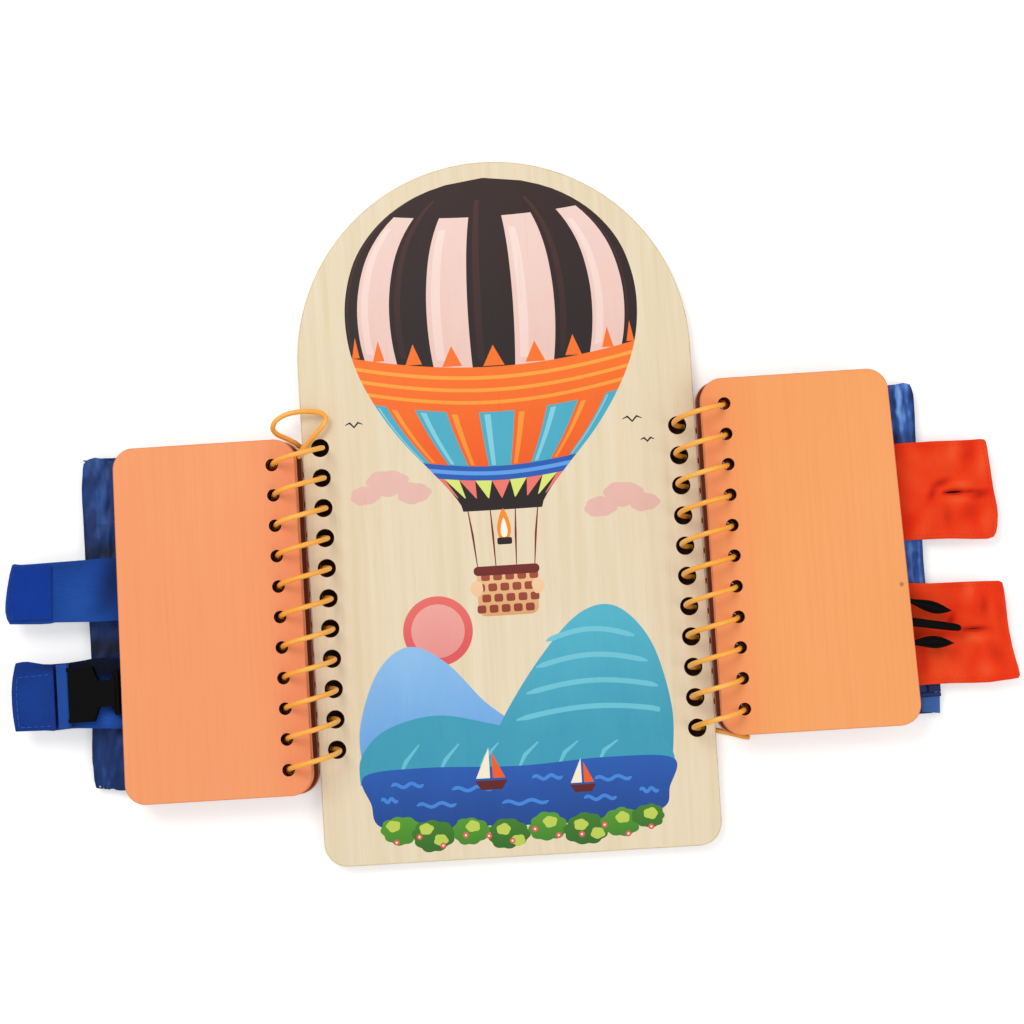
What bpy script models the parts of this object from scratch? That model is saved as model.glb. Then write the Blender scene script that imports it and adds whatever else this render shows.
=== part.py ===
"""Busy board: an arched wooden board with a coil-bound stack of three dressed pages on each side."""

import math

import bmesh
import bpy
import numpy as np
from mathutils import Vector

MM = 0.001

# Clearances
GAP = 0.3 * MM
STACK_GAP = 0.5 * MM
OVERRUN = 1 * MM

# Main board
BOARD_WIDTH = 170 * MM
BOARD_LENGTH = 300 * MM
BOARD_THICK = 5 * MM
BOARD_CORNER = 10 * MM
BOARD_HOLE = 7 * MM
BOARD_HOLE_INSET = 7.8 * MM
FIRST_HOLE_UP = 50 * MM
HOLE_PITCH = 13 * MM

# Pages, three on each side, page 1 on top of the open stack
PAGE_COUNT = 3
PAGE_WIDTH = 80.8 * MM
PAGE_LENGTH = 152 * MM
PAGE_THICK = 3 * MM
PAGE_CORNER = 9 * MM
PAGE_HOLE = 4.7 * MM
PAGE_HOLE_INSET = 9.8 * MM
PAGE_HOLE_END = 8 * MM
LAST_PAGE_CLEAR = 0.6 * MM

# Coils
WIRE = 2.2 * MM
COIL_SPAN = 20 * MM
COIL_RISE = 7 * MM
ARCH_HEIGHT = 12 * MM
FOOT_CLEAR = 0.3 * MM
FOOT_BEND = 3.5 * MM
LOOP_CLEAR = 1.4 * MM
ARCH_STEPS = 8
BEND_STEPS = 3
END_RUN_SHARE = 0.4

# Cloth panels under the pages
PANEL_THICK = 1.2 * MM
PANEL_MARGIN = 16 * MM
PANEL_CORNER = 6 * MM
JACKET_END_INSET = 6 * MM
SHIRT_END_INSET = 8 * MM
VEST_END_INSET = 5 * MM
VEST_EDGE_INSET = 6 * MM
PANEL_OVERHANG = 0.3 * MM

# Straps, flaps and webbing
STRAP_THICK = 1 * MM
STRAP_LAP = 0.3 * MM
STRAP_CORNER = 2 * MM
HINGE_OUT = 1 * MM
HOOK_STRAP_WIDTH = 26.6 * MM
HOOK_STRAP_REACH = 46 * MM
HOOK_STRAP_UP_SHARE = 0.1092
HOOK_PATCH_LENGTH = 21 * MM
HOOK_PATCH_THICK = 0.9 * MM
PATCH_MARGIN = 0.8 * MM
LOOP_PAD_INSET = 13 * MM
LOOP_PAD_THICK = 0.8 * MM

# Buckle strap with its folded end
BUCKLE_STRAP_WIDTH = 29.5 * MM
BUCKLE_STRAP_REACH = 45.5 * MM
BUCKLE_STRAP_DOWN_SHARE = 0.1829
KEEPER_WIDTH = 16 * MM
KEEPER_WALL = 0.9 * MM

# Buckle socket
SOCKET_START = 1.2 * MM
SOCKET_WIDTH = 23.4 * MM
SOCKET_THICK = 4.5 * MM
SOCKET_WAIST = 11.4 * MM
SOCKET_MOUTH_WIDTH = 15 * MM
SOCKET_MOUTH_LIP = 0.7 * MM
SOCKET_FLARE = 1 * MM
SOCKET_WAIST_LENGTH = 5.4 * MM
SOCKET_CHAMFER = 2.4 * MM
SOCKET_BODY_LENGTH = 10.3 * MM
SOCKET_PLATE = 1 * MM
SOCKET_SIDE_WALL = 1.6 * MM
SOCKET_CORNER = 1.2 * MM
BAR_RADIUS = 1 * MM

# Buckle plug
PLUG_DOWN_SHARE = 0.2125
PLUG_WIDTH = 20 * MM
PLUG_REACH = 20 * MM
PLUG_GUIDE_EXTRA = 2.6 * MM
PLUG_THICK = 3 * MM
PLUG_BASE_WIDTH = 18 * MM
PLUG_BASE_LENGTH = 10 * MM
PLUG_BASE_THICK = 1.2 * MM
PLUG_ROOT = 0.6 * MM
PLUG_SLANT_SHARE = 0.187
PLUG_STRAP_WIDTH = 15 * MM
PLUG_STRAP_LENGTH = 30 * MM
PLUG_NOTCH_MARGIN = 1 * MM

# Buttonhole flaps and buttons
FLAP_HEIGHT = 42.5 * MM
UPPER_FLAP_REACH = 43 * MM
LOWER_FLAP_REACH = 46.5 * MM
UPPER_FLAP_UP_SHARE = 0.1487
LOWER_FLAP_DOWN_SHARE = 0.252
SLIT_START = 20.5 * MM
SLIT_LENGTH = 12.5 * MM
SLIT_WIDTH = 1.2 * MM
BUTTON_WIDTH = 14 * MM
BUTTON_THICK = 0.9 * MM
BUTTON_INSET = 14 * MM
BUTTON_EYE = 1.6 * MM
BUTTON_EYE_SPACING = 3.4 * MM

# Zip on page 3
LEFT_ZIP_FOOT_INSET = 7 * MM
LEFT_ZIP_HEAD_INSET = 2 * MM
RIGHT_ZIP_FOOT_INSET = 4 * MM
RIGHT_ZIP_HEAD_INSET = 6 * MM
ZIP_LIFT = 0.6 * MM
ZIP_TAPE_THICK = 0.8 * MM
ZIP_STEP_OUT = 1 * MM
ZIP_STEP_WIDTH = 4 * MM
ZIP_REACH = 12.6 * MM
TOOTH_COUNT = 36
TOOTH_DEPTH = 1 * MM
TOOTH_RAIL = 1.2 * MM
TOOTH_THICK = 1.6 * MM
SLIDER_LENGTH = 9 * MM
SLIDER_PLATE = 0.6 * MM
SLIDER_BRIDGE = 1 * MM
SLIDER_COVER = 1.6 * MM
SLIDER_UP = 9 * MM
EAR_WIDTH = 0.8 * MM
EAR_HEIGHT = 1.1 * MM
PULL_BAR_RADIUS = 0.45 * MM
PULL_EYE_WALL = 0.35 * MM
PULL_WIDTH = 2.6 * MM
PULL_THICK = 0.7 * MM
PULL_LENGTH = 7.5 * MM

# Facets
BOARD_ARC_STEPS = 40
CORNER_STEPS = 6
BOARD_HOLE_SIDES = 14
PAGE_HOLE_SIDES = 10
SMALL_SIDES = 12

# Shapes given as shares of the sizes above
FREE_LOOP_SHARES = (
    (-0.03, -0.30, 0.78), (-0.06, -0.12, 0.90), (-0.17, 0.03, 1.00), (-0.38, 0.35, 1.11),
    (-0.58, 0.65, 1.16), (-0.68, 0.92, 1.13), (-0.59, 1.12, 1.16), (-0.36, 1.20, 1.22),
    (-0.08, 1.21, 1.29), (0.19, 1.13, 1.31), (0.40, 0.95, 1.25), (0.48, 0.72, 1.07),
    (0.40, 0.54, 0.82), (0.23, 0.41, 0.53), (0.05, 0.25, 0.24), (-0.05, 0.13, 0.00),
    (-0.17, 0.06, 0.00),
)
TAIL_SHARES = ((0.62, 0.44, 0.05), (0.50, 0.40, 0.01), (0.25, 0.28, 0.00), (0.00, 0.17, 0.00))
UPPER_FLAP_SHARES = ((0.0, 0.5), (0.93, 0.47), (0.97, 0.1), (1.0, -0.25), (0.97, -0.5), (0.0, -0.5))
LOWER_FLAP_SHARES = ((0.0, 0.5), (0.91, 0.48), (0.94, 0.1), (0.99, -0.32), (0.98, -0.48), (0.0, -0.5))
PRONG_SHARES = (
    (0.0, 0.74), (0.20, 0.70), (0.38, 0.56), (0.55, 0.47), (0.72, 0.48), (0.88, 0.58), (0.98, 0.68),
    (1.0, 0.74), (0.92, 0.84), (0.78, 0.95), (0.60, 1.0), (0.40, 0.99), (0.20, 0.94), (0.0, 0.96),
)
GUIDE_SHARES = ((0.0, 0.19), (0.50, 0.17), (0.93, 0.15), (1.0, 0.09))

# Places worked out from the sizes
LEFT = -1
RIGHT = 1
STRAP_START = PANEL_OVERHANG - STRAP_LAP
CLOTH_ROOM = GAP + PANEL_THICK + GAP + STRAP_THICK
PAGE_STEP = STACK_GAP + CLOTH_ROOM + PAGE_THICK
BOARD_LIFT = WIRE + FOOT_CLEAR
FOOT_Z = -FOOT_CLEAR - WIRE / 2
HOLE_COUNT = int((PAGE_LENGTH - 2 * PAGE_HOLE_END) / HOLE_PITCH) + 1
BOARD_HOLE_X = BOARD_WIDTH / 2 - BOARD_HOLE_INSET
RING_X = BOARD_HOLE_X + COIL_SPAN / 2
PAGE_HOLE_X = RING_X + COIL_SPAN / 2
SPINE_X = PAGE_HOLE_X - PAGE_HOLE_INSET
EDGE_X = SPINE_X + PAGE_WIDTH
LAST_PAGE_SHIFT = SPINE_X - BOARD_WIDTH / 2 - LAST_PAGE_CLEAR
FIRST_HOLE_Y = FIRST_HOLE_UP - BOARD_LENGTH / 2
LAST_HOLE_Y = FIRST_HOLE_Y + (HOLE_COUNT - 1) * HOLE_PITCH
HOLES_MID_Y = (FIRST_HOLE_Y + LAST_HOLE_Y) / 2
HOOK_STRAP_UP = HOOK_STRAP_UP_SHARE * PAGE_LENGTH
BUCKLE_STRAP_DOWN = BUCKLE_STRAP_DOWN_SHARE * PAGE_LENGTH
PLUG_DOWN = PLUG_DOWN_SHARE * PAGE_LENGTH
UPPER_FLAP_UP = UPPER_FLAP_UP_SHARE * PAGE_LENGTH
LOWER_FLAP_DOWN = LOWER_FLAP_DOWN_SHARE * PAGE_LENGTH


def wood_low(page):
    """Height of the underside of a page's wood: page 1 lies on top, the last page lowest."""
    return CLOTH_ROOM - BOARD_LIFT + (PAGE_COUNT - page) * PAGE_STEP


def panel_span(page):
    """Lowest and highest height of the panel under a page.

    The vest on the lowest page is padded, so that it lies on the surface that the coils lie on.
    """
    high = wood_low(page) - GAP
    low = -BOARD_LIFT if page == PAGE_COUNT else high - PANEL_THICK
    return low, high


def strap_span(page):
    """Lowest and highest height of what is sewn to a page's panel."""
    return wood_low(page) - CLOTH_ROOM, wood_low(page) - CLOTH_ROOM + STRAP_THICK


TOP_PAGE_HIGH = wood_low(1) + PAGE_THICK
RING_Z = (TOP_PAGE_HIGH + BOARD_THICK + GAP) / 2
ARCH_Z = wood_low(1)


def page_mid(side):
    """Each stack sits half a coil turn along the board: lower on the left, higher on the right."""
    return HOLES_MID_Y + side * COIL_RISE


def arc(centre, radius, start, end, steps):
    """Points along an arc, angles in degrees."""
    angles = np.radians(np.linspace(start, end, steps + 1))
    return [(centre[0] + radius * math.cos(t), centre[1] + radius * math.sin(t)) for t in angles]


def circle(centre, radius, sides):
    return arc(centre, radius, 0, 360, sides)[:-1]


def rounded_box(low, high, radius, steps=CORNER_STEPS):
    """A rectangle with round corners, anticlockwise."""
    (a, b), (c, d) = low, high
    points = arc((c - radius, b + radius), radius, -90, 0, steps)
    points += arc((c - radius, d - radius), radius, 0, 90, steps)
    points += arc((a + radius, d - radius), radius, 90, 180, steps)
    return points + arc((a + radius, b + radius), radius, 180, 270, steps)


def clear_scene():
    for thing in list(bpy.data.objects):
        bpy.data.objects.remove(thing, do_unlink=True)


def material(name, colour, roughness, metallic=0.0):
    finish = bpy.data.materials.new(name)
    finish.use_nodes = True
    shader = finish.node_tree.nodes["Principled BSDF"]
    shader.inputs["Base Color"].default_value = (*colour, 1.0)
    shader.inputs["Roughness"].default_value = roughness
    shader.inputs["Metallic"].default_value = metallic
    finish.diffuse_color = (*colour, 1.0)
    return finish


def pivot(name, place, parent=None):
    """An empty on a joint's axis."""
    empty = bpy.data.objects.new(name, None)
    bpy.context.scene.collection.objects.link(empty)
    empty["place"] = place
    if parent:
        empty.parent = parent
        empty.location = Vector(place) - Vector(parent["place"])
    else:
        empty.location = place
    return empty


def node(name, mesh, finish, parent=None):
    """An object made from a bmesh in world places, hung on its pivot."""
    data = bpy.data.meshes.new(name)
    if parent:
        bmesh.ops.translate(mesh, vec=-Vector(parent["place"]), verts=mesh.verts)
    bmesh.ops.recalc_face_normals(mesh, faces=mesh.faces)
    mesh.to_mesh(data)
    mesh.free()
    thing = bpy.data.objects.new(name, data)
    bpy.context.scene.collection.objects.link(thing)
    data.materials.append(finish)
    data.shade_smooth()
    data.set_sharp_from_angle(angle=math.radians(35))
    thing.parent = parent
    return thing


def extruded(outline, holes, low, high, place):
    """A closed solid: an outline with holes, carried from one depth to another."""
    mesh = bmesh.new()
    loops = [[mesh.verts.new(place(a, b, low)) for a, b in loop] for loop in [outline, *holes]]
    if holes:
        edges = [mesh.edges.new(pair) for loop in loops for pair in zip(loop, loop[1:] + loop[:1])]
        filled = bmesh.ops.triangle_fill(mesh, use_beauty=True, use_dissolve=False, edges=edges)
        faces = [part for part in filled["geom"] if isinstance(part, bmesh.types.BMFace)]
    else:
        faces = [mesh.faces.new(loops[0])]
    raised = bmesh.ops.extrude_face_region(mesh, geom=faces)
    moved = [part for part in raised["geom"] if isinstance(part, bmesh.types.BMVert)]
    shift = Vector(place(0, 0, high)) - Vector(place(0, 0, low))
    bmesh.ops.translate(mesh, vec=shift, verts=moved)
    bmesh.ops.recalc_face_normals(mesh, faces=mesh.faces)
    return mesh


def flat(a, b, depth):
    return a, b, depth


def on_page(side, page=1):
    """Plan places: first value runs out past the page's free edge, second up from its middle.

    The last page lies nearer the main board than those on it.
    """
    edge = EDGE_X - LAST_PAGE_SHIFT if page == PAGE_COUNT else EDGE_X
    return lambda out, up, depth: (side * (edge + out), page_mid(side) + up, depth)


def across(side):
    """Section places: first value runs out past the free edge, second is a height, depth runs up."""
    return lambda out, height, up: (side * (EDGE_X + out), page_mid(side) + up, height)


def sideways(side):
    """Section places: first value runs up the page, second is a height, depth runs out."""
    return lambda up, height, out: (side * (EDGE_X + out), page_mid(side) + up, height)


def combine(target, others, operation):
    """Join pieces to a target, or cut them from it, exactly."""
    for other in others:
        other.hide_render = True
        other.display_type = "WIRE"
        step = target.modifiers.new(other.name, "BOOLEAN")
        step.operation = operation
        step.solver = "EXACT"
        step.object = other
    return target


def main_board(finish):
    half = BOARD_WIDTH / 2
    foot = -BOARD_LENGTH / 2
    crown = BOARD_LENGTH / 2 - half
    outline = arc((half - BOARD_CORNER, foot + BOARD_CORNER), BOARD_CORNER, -90, 0, CORNER_STEPS)
    outline += arc((0, crown), half, 0, 180, BOARD_ARC_STEPS)
    outline += arc((BOARD_CORNER - half, foot + BOARD_CORNER), BOARD_CORNER, 180, 270, CORNER_STEPS)
    holes = [
        circle((side * BOARD_HOLE_X, FIRST_HOLE_Y + n * HOLE_PITCH), BOARD_HOLE / 2, BOARD_HOLE_SIDES)
        for side in (LEFT, RIGHT)
        for n in range(HOLE_COUNT)
    ]
    return node("main_board", extruded(outline, holes, 0, BOARD_THICK, flat), finish)


def coil_turn():
    """One turn from a board hole, over the arch, down the page holes and under to the next.

    Each point is its place across the ring, its share of the turn's climb, and its height.
    """
    half = COIL_SPAN / 2
    over = COIL_RISE / HOLE_PITCH
    low = half - LAST_PAGE_SHIFT
    stretch = ARCH_HEIGHT / half
    arch = [(u, ARCH_Z + stretch * h) for u, h in arc((0, 0), half, 180, 0, ARCH_STEPS)]
    outer = arc((low - FOOT_BEND, FOOT_Z + FOOT_BEND), FOOT_BEND, 0, -90, BEND_STEPS)
    inner = arc((FOOT_BEND - half, FOOT_Z + FOOT_BEND), FOOT_BEND, 270, 180, BEND_STEPS)
    turn = [(u, over * (u + half) / COIL_SPAN, z) for u, z in arch]
    turn.append((half, over, wood_low(PAGE_COUNT - 1) + PAGE_THICK / 2))
    return turn + [(u, over + (1 - over) * (low - u) / (low + half), z) for u, z in outer + inner]


def coil_route(start):
    """The whole coil as (across, along, height), begun with its loose end."""
    turn = coil_turn()
    bend = turn[-BEND_STEPS - 1:]
    route = list(start) + [(u, (share - 1) * HOLE_PITCH, z) for u, share, z in bend]
    for n in range(HOLE_COUNT):
        last = n == HOLE_COUNT - 1
        for u, share, z in turn[: -BEND_STEPS - 1] if last else turn:
            route.append((u, (n + share) * HOLE_PITCH, z))
    u, share, z = turn[-BEND_STEPS - 2]
    end_u = u - END_RUN_SHARE * COIL_SPAN
    climb = (1 - COIL_RISE / HOLE_PITCH) * END_RUN_SHARE * HOLE_PITCH
    route.append((end_u, (HOLE_COUNT - 1 + share) * HOLE_PITCH + climb, z))
    return route


def free_end(shares):
    """A loose end read from its table: across, along and height."""
    rest = BOARD_THICK + WIRE / 2 + LOOP_CLEAR
    return [(a * COIL_SPAN, -b * HOLE_PITCH, FOOT_Z + c * (rest - FOOT_Z)) for a, b, c in shares]


def least_gap(points, thick):
    """Smallest gap between stretches of a tube that aren't neighbours, measured point to point."""
    dense = [points[0]]
    for a, b in zip(points[:-1], points[1:]):
        dense += [a + (b - a) * k / 4 for k in range(1, 5)]
    dense = np.array(dense)
    along = np.concatenate([[0], np.cumsum(np.linalg.norm(np.diff(dense, axis=0), axis=1))])
    apart = np.linalg.norm(dense[:, None] - dense[None], axis=2)
    far = np.abs(along[:, None] - along[None]) > math.pi * thick
    return float(apart[far].min()) - thick


def coil(name, side, shares, finish):
    """A round wire wound through the board's holes and the holes of three pages."""
    first_y = LAST_HOLE_Y if side == LEFT else FIRST_HOLE_Y
    route = coil_route(free_end(shares))
    points = np.array([(side * (RING_X + u), first_y + side * v, z) for u, v, z in route])
    curve = bpy.data.curves.new(name, "CURVE")
    curve.dimensions = "3D"
    curve.bevel_depth = WIRE / 2
    curve.bevel_resolution = 1
    curve.use_fill_caps = True
    spline = curve.splines.new("POLY")
    spline.points.add(len(points) - 1)
    for point, place in zip(spline.points, points):
        point.co = (*place, 1.0)
    curve.materials.append(finish)
    thing = bpy.data.objects.new(name, curve)
    bpy.context.scene.collection.objects.link(thing)
    print(f"{name}: least gap to itself {least_gap(points, WIRE) / MM:.2f} mm")
    return thing


def page_board(name, side, page, finish, hinge):
    """A thin wooden page with its row of holes beside the coil."""
    low = (-PAGE_WIDTH, -PAGE_LENGTH / 2)
    high = (0, PAGE_LENGTH / 2)
    hole_out = PAGE_HOLE_INSET - PAGE_WIDTH
    middle = (HOLE_COUNT - 1) / 2
    holes = [
        circle((hole_out, (n - middle) * HOLE_PITCH), PAGE_HOLE / 2, PAGE_HOLE_SIDES)
        for n in range(HOLE_COUNT)
    ]
    bottom = wood_low(page)
    outline = rounded_box(low, high, PAGE_CORNER)
    solid = extruded(outline, holes, bottom, bottom + PAGE_THICK, on_page(side, page))
    return node(name, solid, finish, hinge)


def cloth_panel(name, side, page, end_inset, edge, finish, hinge, notch=None):
    """The cloth front glued under a page; a notch leaves room for a buckle's base."""
    half = PAGE_LENGTH / 2 - end_inset
    low = (PANEL_MARGIN - PAGE_WIDTH, -half)
    high = (edge, half)
    outline = rounded_box(low, high, PANEL_CORNER)
    if notch:
        deep, first, last = notch
        cut = [(edge, first), (deep, first), (deep, last), (edge, last)]
        outline = outline[: CORNER_STEPS + 1] + cut + outline[CORNER_STEPS + 1:]
    bottom, top = panel_span(page)
    return node(name, extruded(outline, [], bottom, top, on_page(side, page)), finish, hinge)


def hook_strap(strap_finish, hook_finish, hinge):
    """A webbing strap on left page 1 with hook tape on its outer end."""
    bottom, top = strap_span(1)
    low = HOOK_STRAP_UP - HOOK_STRAP_WIDTH / 2
    high = HOOK_STRAP_UP + HOOK_STRAP_WIDTH / 2
    outline = rounded_box((STRAP_START, low), (HOOK_STRAP_REACH, high), STRAP_CORNER, 3)
    node("hook_strap", extruded(outline, [], bottom, top, on_page(LEFT)), strap_finish, hinge)
    patch = rounded_box(
        (HOOK_STRAP_REACH - HOOK_PATCH_LENGTH, low + PATCH_MARGIN),
        (HOOK_STRAP_REACH - PATCH_MARGIN, high - PATCH_MARGIN), STRAP_CORNER, 3,
    )
    base = top + GAP
    solid = extruded(patch, [], base, base + HOOK_PATCH_THICK, on_page(LEFT))
    return node("hook_patch", solid, hook_finish, hinge)


def bar_place():
    """Distance out past the page's edge and height of the bar that the buckle strap holds."""
    out = SOCKET_START + SOCKET_MOUTH_LIP + SOCKET_FLARE + SOCKET_WAIST_LENGTH
    out += SOCKET_CHAMFER + SOCKET_BODY_LENGTH + SOCKET_THICK / 2 + GAP
    return out, strap_span(1)[1] + GAP + SOCKET_THICK / 2


def buckle_strap(finish, hinge):
    """A wide strap, folded back on itself at its end, whose keeper passes round the socket's bar."""
    bottom, top = strap_span(1)
    fold_low = top + GAP
    fold_high = fold_low + STRAP_THICK
    bar_out, bar_z = bar_place()
    outer = (fold_high - bottom) / 2
    end = BUCKLE_STRAP_REACH - outer
    start = bar_out + SOCKET_THICK / 2 + GAP
    section = [(STRAP_START, bottom)] + arc((end, bottom + outer), outer, -90, 90, CORNER_STEPS)
    section += [(start, fold_high), (start, fold_low)]
    section += arc((end, bottom + outer), outer - STRAP_THICK, 90, -90, CORNER_STEPS)
    section += [(STRAP_START, top)]
    half = BUCKLE_STRAP_WIDTH / 2
    up = -BUCKLE_STRAP_DOWN
    strap = node("buckle_strap", extruded(section, [], up - half, up + half, across(LEFT)), finish, hinge)
    ring_out = BAR_RADIUS + GAP + KEEPER_WALL
    keeper_half = KEEPER_WIDTH / 2
    tail = start + STRAP_THICK
    tail_low = fold_low + STRAP_THICK / 4
    tail_high = fold_high - STRAP_THICK / 4
    leave = math.degrees(math.asin((tail_high - bar_z) / ring_out))
    meet = math.degrees(math.asin((tail_low - bar_z) / ring_out))
    outline = [(tail, tail_low), (tail, tail_high)]
    outline += arc((bar_out, bar_z), ring_out, leave, 360 + meet, SMALL_SIDES * 2)
    bore = circle((bar_out, bar_z), BAR_RADIUS + GAP, SMALL_SIDES * 2)
    solid = extruded(outline, [bore], up - keeper_half, up + keeper_half, across(LEFT))
    keeper = node("keeper_of_strap", solid, finish, hinge)
    return combine(strap, [keeper], "UNION")


def socket_outline():
    """Half outline of the socket's body from its mouth outwards, as (out, half width)."""
    mouth = SOCKET_MOUTH_WIDTH / 2
    waist = SOCKET_WAIST / 2
    full = SOCKET_WIDTH / 2
    lip = SOCKET_START + SOCKET_MOUTH_LIP
    neck = lip + SOCKET_FLARE
    shoulder = neck + SOCKET_WAIST_LENGTH
    wide = shoulder + SOCKET_CHAMFER
    return [
        (SOCKET_START, mouth), (lip, mouth), (neck, waist), (shoulder, waist), (wide, full),
        (wide + SOCKET_BODY_LENGTH, full),
    ]


def buckle_socket(finish, swivel):
    """The side-release buckle's socket: two plates round a pocket, and a bar between two arms."""
    up = -BUCKLE_STRAP_DOWN
    bar_out, bar_z = bar_place()
    low = bar_z - SOCKET_THICK / 2
    high = bar_z + SOCKET_THICK / 2
    half = socket_outline()
    outline = [(out, up - wide) for out, wide in half] + [(out, up + wide) for out, wide in reversed(half)]
    socket = node("buckle_socket", extruded(outline, [], low, high, on_page(LEFT)), finish, swivel)
    end = half[-1][0]
    arms = []
    for sign in (-1, 1):
        near = up + sign * (SOCKET_WIDTH / 2 - SOCKET_SIDE_WALL)
        far = up + sign * SOCKET_WIDTH / 2
        section = [(end - OVERRUN, low), (bar_out, low)]
        section += arc((bar_out, bar_z), SOCKET_THICK / 2, -90, 90, SMALL_SIDES)[1:]
        section += [(end - OVERRUN, high)]
        solid = extruded(section, [], near, far, across(LEFT))
        arms.append(node(f"socket_arm_{sign}", solid, finish, swivel))
    reach = SOCKET_WIDTH / 2 - SOCKET_SIDE_WALL / 2
    round_bar = circle((bar_out, bar_z), BAR_RADIUS, SMALL_SIDES)
    solid = extruded(round_bar, [], up - reach, up + reach, across(LEFT))
    arms.append(node("socket_bar", solid, finish, swivel))
    combine(socket, arms, "UNION")
    pocket_half = SOCKET_WIDTH / 2 - SOCKET_SIDE_WALL - SOCKET_PLATE
    pocket = rounded_box(
        (SOCKET_START - OVERRUN, up - pocket_half),
        (half[-1][0] - SOCKET_SIDE_WALL, up + pocket_half), SOCKET_CORNER, 2,
    )
    solid = extruded(pocket, [], low + SOCKET_PLATE, high - SOCKET_PLATE, on_page(LEFT))
    return combine(socket, [node("socket_pocket", solid, finish, swivel)], "DIFFERENCE")


def loop_pad(finish, hinge):
    """The soft pad on right page 1 that the hook tape grips."""
    bottom = strap_span(1)[1] - LOOP_PAD_THICK
    outer = -LOOP_PAD_INSET
    low = (outer - HOOK_PATCH_LENGTH, HOOK_STRAP_UP - HOOK_STRAP_WIDTH / 2)
    outline = rounded_box(low, (outer, low[1] + HOOK_STRAP_WIDTH), STRAP_CORNER, 3)
    solid = extruded(outline, [], bottom, bottom + LOOP_PAD_THICK, on_page(RIGHT))
    return node("loop_pad", solid, finish, hinge)


def plug_strap(finish, hinge):
    bottom, top = strap_span(1)
    half = PLUG_STRAP_WIDTH / 2
    low = (-PLUG_STRAP_LENGTH, -PLUG_DOWN - half)
    outline = rounded_box(low, (-STRAP_THICK, -PLUG_DOWN + half), STRAP_CORNER, 3)
    return node("plug_strap", extruded(outline, [], bottom, top, on_page(RIGHT)), finish, hinge)


def slanted(outline):
    """A prong's outline, put at the plug's place and leaning down the page as it goes out."""
    return [(out, up - PLUG_DOWN - PLUG_SLANT_SHARE * (out - PLUG_ROOT)) for out, up in outline]


def buckle_plug(finish, hinge):
    """The buckle's plug: a thin base under the page, two leaf prongs and a guide tongue."""
    top = wood_low(1) - GAP
    half = PLUG_BASE_WIDTH / 2
    base_low = (-PLUG_BASE_LENGTH, -PLUG_DOWN - half)
    slot_low = (STRAP_THICK - PLUG_BASE_LENGTH, -PLUG_DOWN - PLUG_STRAP_WIDTH / 2)
    slot_high = (STRAP_THICK * 3 - PLUG_BASE_LENGTH, -PLUG_DOWN + PLUG_STRAP_WIDTH / 2)
    slot = [slot_low, (slot_high[0], slot_low[1]), slot_high, (slot_low[0], slot_high[1])]
    outline = rounded_box(base_low, (PLUG_ROOT + GAP, half - PLUG_DOWN), SOCKET_CORNER, 2)
    solid = extruded(outline, [slot], top - PLUG_BASE_THICK, top, on_page(RIGHT))
    plug = node("buckle_plug", solid, finish, hinge)
    low = top - PLUG_BASE_THICK - GAP * 3
    prongs = []
    width = PLUG_WIDTH / 2
    for sign in (-1, 1):
        places = [(PLUG_ROOT + a * (PLUG_REACH - PLUG_ROOT), sign * b * width) for a, b in PRONG_SHARES]
        solid = extruded(slanted(places), [], low, low + PLUG_THICK, on_page(RIGHT))
        prongs.append(node(f"plug_prong_{sign}", solid, finish, hinge))
    reach = PLUG_REACH + PLUG_GUIDE_EXTRA - PLUG_ROOT
    rising = [(PLUG_ROOT + a * reach, b * width) for a, b in GUIDE_SHARES]
    tongue = rising + [(out, -up) for out, up in reversed(rising)]
    solid = extruded(slanted(tongue), [], low + GAP, low + PLUG_THICK - GAP, on_page(RIGHT))
    prongs.append(node("plug_guide", solid, finish, hinge))
    return combine(plug, prongs, "UNION")


def flap(name, up, reach, shares, finish, hinge):
    """A cloth flap on right page 2 with a buttonhole slit along it."""
    bottom, top = strap_span(2)
    free = reach - STRAP_START
    outline = [(STRAP_START + a * free, up + b * FLAP_HEIGHT) for a, b in shares]
    slit = rounded_box(
        (SLIT_START, up - SLIT_WIDTH / 2), (SLIT_START + SLIT_LENGTH, up + SLIT_WIDTH / 2),
        SLIT_WIDTH / 3, 1,
    )
    return node(name, extruded(outline, [slit], bottom, top, on_page(RIGHT)), finish, hinge)


def button(name, up, finish, hinge):
    """A flat two-eyed button sewn to left page 2."""
    top = strap_span(2)[1]
    centre = (-BUTTON_INSET, up)
    eyes = [
        circle((-BUTTON_INSET, up + sign * BUTTON_EYE_SPACING / 2), BUTTON_EYE / 2, SMALL_SIDES // 2)
        for sign in (-1, 1)
    ]
    outline = circle(centre, BUTTON_WIDTH / 2, SMALL_SIDES * 2)
    return node(name, extruded(outline, eyes, top - BUTTON_THICK, top, on_page(LEFT)), finish, hinge)


def zip_height():
    """Middle height of the zip's teeth on page 3."""
    return wood_low(PAGE_COUNT) + ZIP_LIFT


def zip_span(side):
    """Where a side's zip begins and ends along its page, from the page's middle."""
    foot, head = (LEFT_ZIP_FOOT_INSET, LEFT_ZIP_HEAD_INSET)
    if side == RIGHT:
        foot, head = (RIGHT_ZIP_FOOT_INSET, RIGHT_ZIP_HEAD_INSET)
    return foot - PAGE_LENGTH / 2, PAGE_LENGTH / 2 - head


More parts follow.
